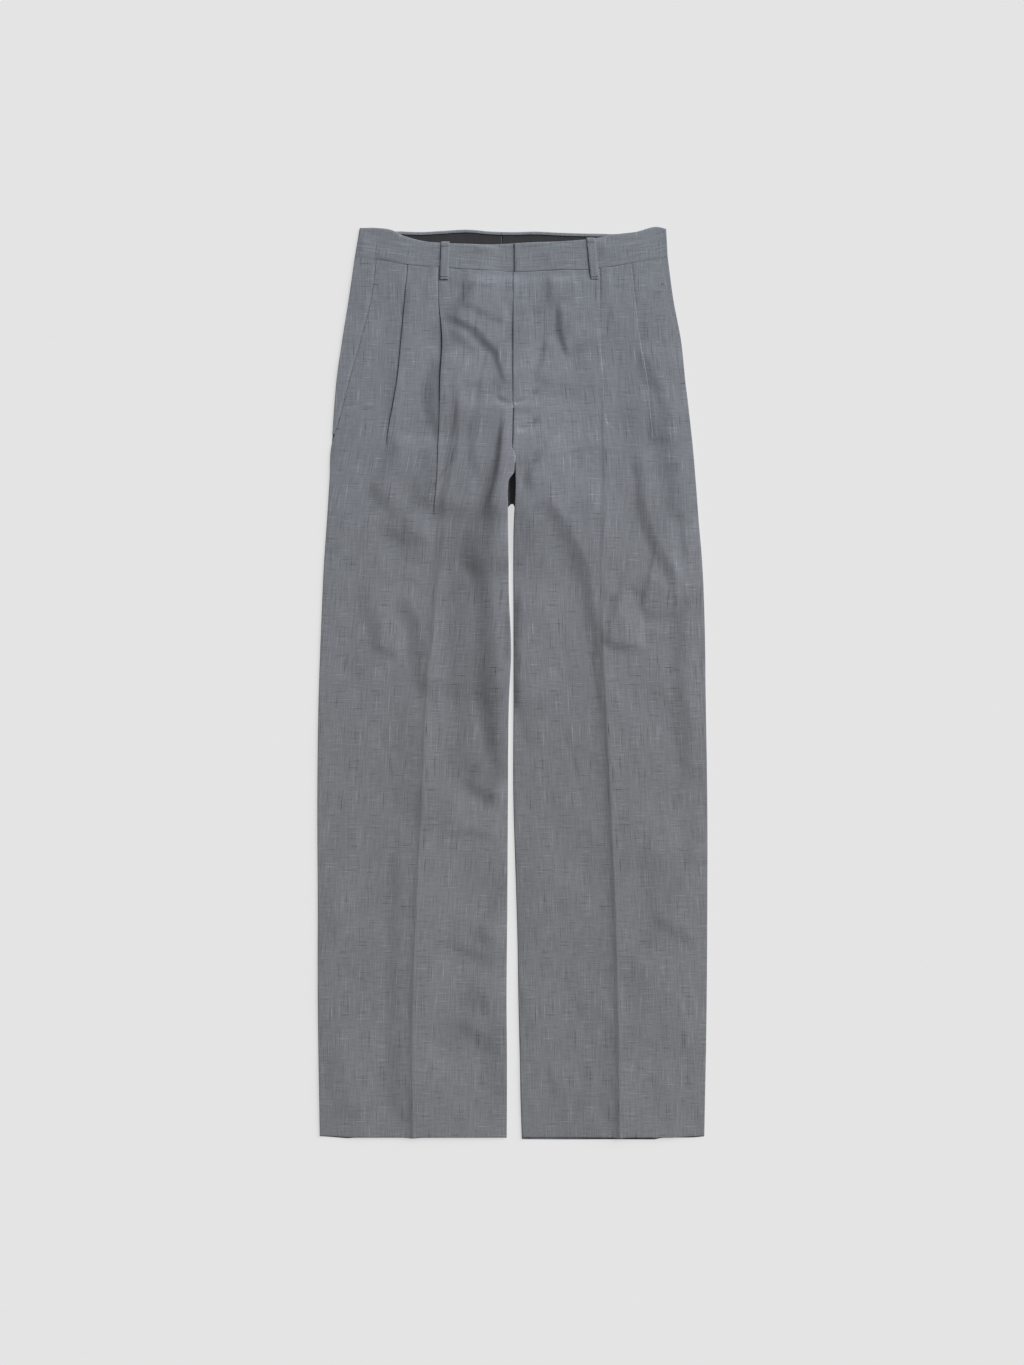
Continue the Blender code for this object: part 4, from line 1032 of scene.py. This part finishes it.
def band_grid(leg):
    """Outer face, top fold and inner turning of one half, from the centre front round to the centre back."""
    out, bulge, z, (normal_out, normal_up), is_back = band_place(leg)
    x = leg.outward * out
    seam = follow(BAND, "seam", x, key="x") * (1 - is_back) + back_seam(x) * is_back
    front_top, back_top = (follow(BAND, column, x, key="x") for column in ("front_top", "back_top"))
    top = front_top * (1 - is_back) + back_top * is_back
    height = top - seam
    turn = 0.45 + 0.32 * smooth_step(is_back * 3 - 2) * smooth_step((172 - out) / 20)
    flat = np.linspace(0, 1, 12)[1:-1, None]
    angle = np.linspace(0, np.pi, 8)[:, None]
    inside = np.array([[1.0], [2.4]])
    up = np.concatenate([SEAM_ROLL * ROLL_REACH[:, None] + 0 * out,
                         SEAM_ROLL + (height - turn - SEAM_ROLL) * flat,
                         height - turn + turn * np.sin(angle),
                         height - turn - inside])
    inset = np.concatenate([0.4 * ROLL_DROP[:, None] + 0 * out,
                            0 * flat * out,
                            turn * (1 - np.cos(angle)),
                            2 * turn + 0 * inside])
    side = blend(BAND_SIDE_SEAM[leg.name], BAND_SIDE_TOP[leg.name], up / height)
    scaled = out * ((side - BAND_BACK - BAND_RADIUS) / SIDE_REFERENCE)
    place = np.where(is_back == 1, blend(out, scaled, smooth_step(out / 60)), scaled)
    place = place + bulge - inset * normal_out
    level = seam + up
    wave = undulation(x + 0 * up, level, 47, 26.0, 80.0, 0.07) + fold_relief(x + 0 * up, level, BAND_FOLDS)
    wave = wave * smooth_step(up / 4) * smooth_step((height - up) / 4)
    z = z + wave * (is_back == 0) - inset * normal_up
    grid = np.stack([leg.outward * place, level, z], axis=-1)
    run = np.concatenate([[0], np.cumsum(np.hypot(np.diff(place[6]), np.diff(z[6])))])
    uv = np.stack([up + inset, run + 0 * up], axis=-1)
    return turn_if(leg.outward > 0, grid, uv)


def band_facing_grid(leg):
    """The dark strip inside the back of the band, from the centre back seam toward the side."""
    finish = leg.outward * CENTRE_BACK_TOP + CENTRE_GAP
    roll = 1.2 * ROLL_REACH
    out = np.hstack([np.linspace(158.0, finish + roll[-1], FACING_COLUMNS), finish + roll[-2::-1]])
    x = leg.outward * out
    bottom = back_seam(x) + 1.0
    top = follow(BAND, "back_top", x, key="x") - 0.4
    level = blend(bottom, top, np.linspace(1, 0, 16)[:, None])
    dip = np.hstack([np.zeros(FACING_COLUMNS), ROLL_DROP[-2::-1]])
    z = FACING_HEIGHT - 0.4 * dip + undulation(x + 0 * level, level, 53, 14.0, 50.0, 0.05)
    grid = np.stack([x + 0 * level, level, z], axis=-1)
    return turn_if(leg.outward < 0, grid, grid[..., :2])


for leg in LEGS:
    shell("suiting_waistband_" + leg.name, *band_grid(leg), BAND_WALL)
    shell("dark_band_facing_" + leg.name, *band_facing_grid(leg), LINING_WALL)

# %% [markdown]
# ## Belt loops
#
# A belt loop is a narrow strip with both edges turned in, so it is thicker than the cloth and round at its
# edges.  It is caught over the band's top edge, stands a little clear of the band, and its lower end is
# tucked under and held by a bar tack just below the seam.

# %% Belt loops
LOOPS = {"right": ((-83.0, 541.6), (-84.5, 497.0)), "left": ((95.8, 546.4), (101.0, 497.0))}
LOOP_WIDTH, LOOP_WALL = 10.4, 0.8
LOOP_HEIGHT = 4.24              # height of the loop's middle where it lies on the band
OVER = np.radians([-90, -60, -30, 0, 30, 60])   # angles of the turn over the top edge
TUCK = np.radians([60, 20, -20, -60, -90])      # and of the tuck at the foot
LOOP_POINTS = 40


def loop_line(name):
    """Middle of the loop: a turn over the band's edge, the run down the band, and the tuck at its foot."""
    (top_x, top_y), (foot_x, foot_y) = LOOPS[name]
    down = np.linspace(0, 1, LOOP_POINTS)
    z = LOOP_HEIGHT + 0.22 * np.sin(np.pi * np.clip(down * 1.08 - 0.04, 0, 1)) ** 0.8
    z = z - 0.12 * smooth_step((down - 0.86) / 0.1)
    x = np.hstack([top_x + 0 * OVER, blend(top_x, foot_x, down), foot_x + 0 * TUCK])
    y = np.hstack([top_y + np.cos(OVER), blend(top_y, foot_y, down), foot_y - 0.55 * np.cos(TUCK)])
    z = np.hstack([LOOP_HEIGHT + 0.9 * (np.sin(OVER) - 1), z, z[-1] + 0.55 * (np.sin(TUCK) - 1)])
    return np.stack([x, y, z], axis=-1)


def make_loop(name):
    """Rings round the strip: a flat oval of the loop's width and wall, closed at both ends."""
    line = loop_line(name)
    step = np.gradient(line, axis=0)
    step = step / np.linalg.norm(step, axis=-1, keepdims=True)
    across = np.array([1.0, 0.0, 0.0]) - step * step[:, :1]
    across = across / np.linalg.norm(across, axis=-1, keepdims=True)
    up = np.cross(across, step)
    up = up * np.sign(up[len(up) // 2, 2])
    angle = np.linspace(0, 2 * np.pi, 28, endpoint=False)
    wide = np.sign(np.cos(angle)) * np.abs(np.cos(angle)) ** 0.35 * LOOP_WIDTH / 2
    thick = np.sign(np.sin(angle)) * np.abs(np.sin(angle)) ** 0.8 * LOOP_WALL / 2
    rings = line[:, None] + across[:, None] * wide[:, None] + up[:, None] * thick[:, None]
    n, m = rings.shape[:2]
    index = np.arange(n * m).reshape(n, m)
    after = np.roll(index, -1, axis=1)
    sides = np.stack([index[:-1], index[1:], after[1:], after[:-1]], -1).reshape(-1, 4)
    k = np.arange(m // 2 - 1)
    cap = np.stack([k, k + 1, m - k - 2, m - k - 1], -1)
    faces = np.concatenate([sides, index[0][cap], index[-1][cap][:, ::-1]])
    run = np.concatenate([[0], np.cumsum(np.linalg.norm(np.diff(line, axis=0), axis=-1))])
    uv = np.stack([np.tile(wide, (n, 1)), np.tile(run[:, None], (1, m))], -1).reshape(-1, 2)
    name = "suiting_belt_loop_" + name
    make_object(name, rings.reshape(-1, 3), faces, uv, np.arange(len(faces)) < len(sides))
    length = float(run[-1])
    cuts[name] = LOOP_WIDTH * METRE, length * METRE, LOOP_WIDTH * length * METRE**2
    print(name, round(length, 1), "mm along the strip")


for name in LOOPS:
    make_loop(name)

# %% [markdown]
# ## Stitching
#
# The sewing thread matches the cloth, so the stitches show mainly as small bumps in a shallow line.  The
# curved row beside the fly holds the fly facing, and short bar tacks lock the pocket mouths and the belt
# loops.  One stitch is a small capsule lying along its row.

# %% Stitch helpers
UP = np.array([0.0, 0.0, 1.0])
CAPSULE_ALONG = np.array([-0.5, -0.42, -0.22, 0.22, 0.42, 0.5])
CAPSULE_THICK = np.array([0.15, 0.7, 1.0, 1.0, 0.7, 0.15])


def capsules(name, centres, directions, length, radius):
    """One mesh of many capsules: each has six rings of six points along its direction."""
    turn = np.linspace(0, 2 * np.pi, 6, endpoint=False)
    directions = directions / np.linalg.norm(directions, axis=-1, keepdims=True)
    side = np.cross(UP, directions)
    side = side / np.linalg.norm(side, axis=-1, keepdims=True)
    up = np.cross(directions, side)
    ring = np.cos(turn)[:, None] * side[:, None, None] + np.sin(turn)[:, None] * up[:, None, None]
    middle = centres[:, None] + directions[:, None] * (CAPSULE_ALONG * length)[None, :, None]
    points = middle[:, :, None] + ring * (CAPSULE_THICK * radius)[None, :, None, None]
    index = np.arange(points[..., 0].size).reshape(points.shape[:3])
    after = np.roll(index, -1, axis=2)
    sides = np.stack([index[:, :-1], after[:, :-1], after[:, 1:], index[:, 1:]], -1).reshape(-1, 4)
    halves = ([0, 1, 2, 3], [0, 3, 4, 5])
    caps = [index[:, 0, half[::-1]] for half in halves] + [index[:, -1, half] for half in halves]
    faces = np.concatenate([sides, *caps])
    make_object(name, points.reshape(-1, 3), faces, points[..., :2].reshape(-1, 2), np.ones(len(faces), bool))
    print(name, len(centres), "stitches")


def along_path(path, pitch):
    """Places and directions of stitches of that pitch along a soft path."""
    line = smooth_path(path, 20)[:, :2]
    run = np.concatenate([[0], np.cumsum(np.hypot(*np.diff(line, axis=0).T))])
    here = np.arange(pitch / 2, run[-1], pitch)
    before, middle, ahead = (np.stack([np.interp(here + shift, run, axis) for axis in line.T], -1)
                             for shift in (-0.4, 0.0, 0.4))
    return middle, ahead - before


def on_front(leg, x, y):
    """Height of the front's upper face, where no pleat is folded."""
    return front_height(leg, leg.outward * x, y) + CLOTH / 2


def bar_tack(x, y, z, width, lean, count):
    """Centres and directions of the close zigzag stitches of one bar tack across a strip."""
    share = np.linspace(-0.5, 0.5, count) * width
    cosine, sine = math.cos(lean), math.sin(lean)
    zigzag = np.where(np.arange(count) % 2 == 0, 0.25, -0.25)
    centre = np.stack([x + share * cosine, y + share * sine, z + 0 * share], -1)
    return centre, np.stack([-sine + zigzag * cosine, cosine + zigzag * sine, 0 * share], -1)


print("one stitch has", 6 * len(CAPSULE_ALONG), "points")

# %% Fly stitching and bar tacks
FLY_STITCHING = ((37, 506), (39, 460), (39, 416), (38, 394), (33, 378), (25, 361), (14, 344), (4, 341))
place, ahead = along_path(FLY_STITCHING, 2.6)
z = on_front(LEFT_LEG, *place.T)
ahead_z = on_front(LEFT_LEG, *(place + ahead).T) - z
centres, directions = np.column_stack([place, z + 0.02]), np.column_stack([ahead, ahead_z])
capsules("thread_fly_stitching", centres, directions, 2.0, 0.24)

tacks = []
for name, ((top_x, top_y), (foot_x, foot_y)) in LOOPS.items():
    _, line_y, line_z = loop_line(name)[len(OVER):len(OVER) + LOOP_POINTS][::-1].T
    for y in (foot_y + 3.2, top_y - 4.2):
        share = (y - foot_y) / (top_y - foot_y)
        z = float(np.interp(y, line_y, line_z)) + LOOP_WALL / 2
        tacks.append(bar_tack(blend(foot_x, top_x, share), y, z, 8.6, 0.0, 16))
for leg in LEGS:
    for y in (leg.pocket_end + 7.0, WAIST - 14.0):
        x = leg.outward * (float(line_of(leg, "edge", y)) - 3.0)
        z = float(on_front(leg, np.array([x]), np.array([y]))[0])
        tacks.append(bar_tack(x, y, z, 4.6, 0.15 * leg.outward, 9))
capsules("thread_bar_tacks", *(np.concatenate(group) for group in zip(*tacks)), 1.7, 0.26)

# %% [markdown]
# ## The suiting's finish
#
# The cloth is a plain weave of mixed grey yarns.  Some warp yarns are lighter or darker than their neighbours
# for a few centimetres, and a few weft yarns too, which gives fine broken streaks along and across the cloth.
# Each kind of streak is a noise texture stretched along one UV direction.  The colour is a cool mid grey, painted a
# touch paler and cooler toward the waist as painted light, and a wool finish is matt with a very slight sheen.
#
# Real yarns are 0.3 mm wide.  The streaks are drawn up to five times coarser, as they show from two metres.
# The finest ones only raise the surface, as fibres do.

# %% Linear colour
def linear(hex_colour):
    """An sRGB hex colour as linear red, green, blue and alpha."""
    values = np.array([int(hex_colour[k:k + 2], 16) / 255 for k in (0, 2, 4)])
    values = np.where(values <= 0.04045, values / 12.92, ((values + 0.055) / 1.055) ** 2.4)
    return (*values.tolist(), 1.0)


print("a grey of 80 percent is", round(linear("CCCCCC")[0], 3), "in linear light")

# %% Node helpers
WAVE_BAND = 0.314159            # distance between the bands of a Wave texture at scale 1


class Nodes:
    """A material and short ways to add nodes to it."""

    def __init__(self, name, uv_map=None):
        self.material = bpy.data.materials.new(name)
        self.material.use_nodes = True
        self.tree = self.material.node_tree
        self.shader = self.tree.nodes["Principled BSDF"]
        if uv_map:
            self.uv = self.add("UVMap", uv_map=uv_map).outputs[0]

    def add(self, kind, inputs=None, **settings):
        """Adds a node, sets its settings, and sets or links its inputs."""
        node = self.tree.nodes.new("ShaderNode" + kind)
        for key, value in settings.items():
            setattr(node, key, value)
        self.fill(node, inputs or {})
        return node

    def fill(self, node, inputs):
        """Sets or links inputs of a node."""
        for key, value in inputs.items():
            if isinstance(value, bpy.types.NodeSocket):
                self.tree.links.new(value, node.inputs[key])
            else:
                node.inputs[key].default_value = value

    def math(self, operation, a, b=0.0, c=0.0):
        """One Math node's result."""
        return self.add("Math", {0: a, 1: b, 2: c}, operation=operation).outputs[0]

    def streaks(self, across, along, detail, turned=False):
        """Noise drawn out along the warp, or the weft if turned: yarn width and streak length in metres."""
        scale = (1 / along, 1 / across, 1.0) if turned else (1 / across, 1 / along, 1.0)
        vector = self.add("Mapping", {"Vector": self.uv, "Scale": scale}).outputs[0]
        inputs = {"Vector": vector, "Scale": 1.0, "Detail": detail, "Roughness": 0.55}
        noise = self.add("TexNoise", inputs, noise_dimensions="2D")
        return self.math("SUBTRACT", noise.outputs["Fac"], 0.5)

    def slubs(self, across, along, turned=False):
        """The cube of a streak noise: mostly nothing, and here and there a clearly lighter or darker yarn."""
        yarn = self.streaks(across, along, 1.5, turned)
        return self.math("MULTIPLY", self.math("MULTIPLY", yarn, yarn), yarn)

    def ribs(self, degrees, pitch, distortion=0.0):
        """Parallel bands, turned by an angle: their distance apart in metres, and how much they waver."""
        turned = self.add("Mapping", {"Vector": self.uv, "Rotation": (0, 0, math.radians(degrees))})
        inputs = {"Vector": turned.outputs[0], "Scale": WAVE_BAND / pitch, "Distortion": distortion}
        return self.add("TexWave", inputs).outputs["Fac"]

    def colour(self, base, shade):
        """Colours the shader with the base colour times the shade."""
        tone = self.add("VectorMath", {0: base, "Scale": shade}, operation="SCALE")
        self.fill(self.shader, {"Base Color": tone.outputs[0]})

    def bump(self, height, strength, distance):
        """Raises the shader's surface by a height."""
        bump = self.add("Bump", {"Height": height, "Strength": strength, "Distance": distance})
        self.fill(self.shader, {"Normal": bump.outputs[0]})


print("node helpers:", [name for name in vars(Nodes) if not name.startswith("_")])

# %% Suiting, twill and thread
def suiting(name):
    """Matt grey suiting: base colour * (1 + warp streaks + weft streaks + cloudiness); the base colour is painted
    paler and cooler toward the waist as painted light.
    """
    nodes = Nodes(name, "cloth")
    total = 1.0
    for part, weight in (
        (nodes.slubs(0.0015, 0.042), 15.0),
        (nodes.slubs(0.0014, 0.024, turned=True), 13.0),
        (nodes.streaks(0.0014, 0.026, 2.0), 0.36),
        (nodes.streaks(0.0013, 0.014, 2.0, turned=True), 0.22),
        (nodes.streaks(0.0110, 0.030, 2.0), 0.08),
        (nodes.streaks(0.0005, 0.006, 1.0), 0.20),
    ):
        total = nodes.math("MULTIPLY_ADD", part, weight, total)
    # painted light: the base colour runs from the cloth's grey low down to a paler, cooler grey at the waist
    place = nodes.add("SeparateXYZ", {0: nodes.add("TexCoord").outputs["Object"]}).outputs["Y"]
    upper = nodes.add("MapRange", {"Value": place, "From Min": -0.15, "From Max": 0.50}).outputs[0]
    both = {0: upper, 6: linear(CLOTH_COLOUR), 7: linear(WAIST_PAINTED_LIGHT_COLOUR)}
    nodes.colour(nodes.add("Mix", both, data_type="RGBA").outputs[2], total)
    fibres = [nodes.streaks(0.0007, 0.004, 1.0, turned) for turned in (False, True)]
    nodes.bump(nodes.math("ADD", *fibres), 0.35, 0.0003)
    nodes.fill(nodes.shader, {"Roughness": 0.82, "IOR": 1.45, "Specular IOR Level": 0.3,
                              "Sheen Weight": 0.12, "Sheen Roughness": 0.4})
    return nodes.material


def facing_twill(name, base):
    """Twill lining: fine diagonal ribs and a slight gloss."""
    nodes = Nodes(name, "cloth")
    rib = nodes.ribs(45, 0.0011, 0.4)
    shade = nodes.math("MULTIPLY_ADD", nodes.streaks(0.0012, 0.012, 2.0), 0.5, 0.92)
    nodes.colour(linear(base)[:3], nodes.math("MULTIPLY_ADD", rib, 0.16, shade))
    nodes.bump(rib, 0.3, 0.0002)
    nodes.fill(nodes.shader, {"Roughness": 0.55, "IOR": 1.5})
    return nodes.material


def spun_thread(name):
    """Polyester sewing thread: fine twist lines and a soft gloss."""
    nodes = Nodes(name, "cloth")
    nodes.colour(linear(THREAD_COLOUR)[:3], nodes.math("MULTIPLY_ADD", nodes.ribs(30, 0.0003), 0.2, 0.9))
    nodes.fill(nodes.shader, {"Roughness": 0.5})
    return nodes.material


print("finishes:", suiting.__name__, facing_twill.__name__, spun_thread.__name__)

# %% Put the finishes on
FINISHES = {                    # the finish of every piece whose name starts like this
    "suiting": suiting("suiting_grey_melange"),
    "dark_band": facing_twill("facing_twill_charcoal", FACING_COLOUR),
    # painted light: the crotch lining's twill is coloured paler to make up for the shade in its slot
    "dark_crotch": facing_twill("crotch_lining_twill", LINING_COLOUR),
    "thread": spun_thread("thread_grey"),
}
for name, piece in pieces.items():
    piece.data.materials.append(next(finish for start, finish in FINISHES.items() if name.startswith(start)))
print("materials:", [finish.name for finish in FINISHES.values()])

# %% [markdown]
# ## Table, light and camera
#
# A garment like this is shown from straight above on a pale table.  The light is large and soft.  It comes
# mostly from the upper right, so slopes that face left or down are a little darker.  Some light comes from
# all round, so nothing goes black, and the table glows, which leaves only a fine shadow along the outline.

# %% Table and light
WHITE = (1.0, 1.0, 1.0, 1.0)
TABLE_SIZE = 8.0
TABLE_BELOW = 0.0002            # the table lies this far under the trousers

bpy.ops.mesh.primitive_plane_add(size=TABLE_SIZE, location=(0.0, 0.0, -TABLE_BELOW))
table = bpy.context.object
table.name = "table_top"
pale = Nodes("table_pale")
pale.fill(pale.shader, {"Base Color": linear(TABLE_COLOUR), "Emission Color": WHITE,
                        "Emission Strength": TABLE_GLOW, "Roughness": 0.9, "Specular IOR Level": 0.0})
table.data.materials.append(pale.material)
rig.stage(table)

world = bpy.data.worlds.new("soft_room")
world.use_nodes = True
room = world.node_tree.nodes["Background"]
room.inputs["Color"].default_value = WHITE
room.inputs["Strength"].default_value = ROOM_LIGHT
bpy.context.scene.world = world

lamp = bpy.data.lights.new("window_light", "SUN")
lamp.energy = SUN_LIGHT
lamp.angle = math.radians(SUN_ANGLE)
lamp.color = WHITE[:3]
window = bpy.data.objects.new("window_light", lamp)
bpy.context.scene.collection.objects.link(window)
toward = np.array(SUN_FROM, float)
toward = toward / np.linalg.norm(toward)
window.rotation_euler = (math.acos(toward[2]), 0.0, math.atan2(toward[1], toward[0]) + math.pi / 2)
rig.stage(window)
bpy.context.scene.view_settings.view_transform = "Standard"
print("light comes from", toward.round(2))

# %% Camera
LENS = 85.0                     # millimetres, on a sensor whose longer side is 36 mm
SENSOR = 36.0
FRAME_HEIGHT = 1.680            # metres of table from the bottom to the top of the view

camera_data = bpy.data.cameras.new("view_from_above")
camera_data.lens = LENS
camera_data.sensor_width = SENSOR
camera_data.dof.use_dof = False
camera = bpy.data.objects.new("view_from_above", camera_data)
bpy.context.scene.collection.objects.link(camera)
camera.location = (-0.0010, 0.0006, FRAME_HEIGHT * LENS / SENSOR)
camera.rotation_euler = (0.0, 0.0, 0.0)
bpy.context.scene.camera = camera
print("camera height:", round(camera.location.z, 3), "m")

# %% [markdown]
# ## What each piece is
#
# Every piece rides on the trousers' one body and names its finish, and each sheet takes the place of its solid.
# Each sheet says how large it was cut, in metres.

SHEETS = (                      # piece, solid, finish and what it rests on, each for both legs
    ("suiting_back_", "back_panel_", "suiting", "table"),
    ("suiting_front_", "front_panel_", "suiting", "back_panel_"),
    ("suiting_pocket_facing_", "pocket_facing_", "suiting", "back_panel_"),
    ("suiting_waistband_", "waistband_", "suiting", "back_panel_"),
    ("dark_band_facing_", "band_facing_", "facing_twill", "waistband_"),
    ("suiting_belt_loop_", "belt_loop_", "suiting", "waistband_"),
)


def declare(name, node, finish, rests_on):
    """Rides, replaces, takes its slot and states its cut: width and length in metres, and area."""
    piece = pieces[name]
    width, length, area = cuts[name]
    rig.ride(piece, "root")
    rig.replaces(piece, node)
    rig.slot(piece, finish)
    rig.sheet(piece, flat=(width, length), held="laid", rests_on=rests_on, area=area)
    print(name, "cut", round(1000 * width), "x", round(1000 * length), "mm,", round(area, 4), "m2")


for leg in LEGS:
    for name, node, finish, below in SHEETS:
        rests_on = below if below == "table" else below + leg.name
        declare(name + leg.name, node + leg.name, finish, [rests_on])
declare("dark_crotch_lining", "fork_lining", "facing_twill", ["back_panel_left", "back_panel_right"])
for name in ("thread_fly_stitching", "thread_bar_tacks"):
    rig.ride(pieces[name], "root")
    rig.slot(pieces[name], "suiting")
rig.table()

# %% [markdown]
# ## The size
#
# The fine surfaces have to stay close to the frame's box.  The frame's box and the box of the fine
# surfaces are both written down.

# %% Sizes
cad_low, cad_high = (list(corner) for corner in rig.bounds())
with open("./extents.json", "w") as size_file:
    json.dump({"frame": [frame_low, frame_high], "visual": [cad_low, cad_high]}, size_file)
print("visual box:", [round(1000 * (b - a), 1) for a, b in zip(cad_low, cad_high)], "mm")
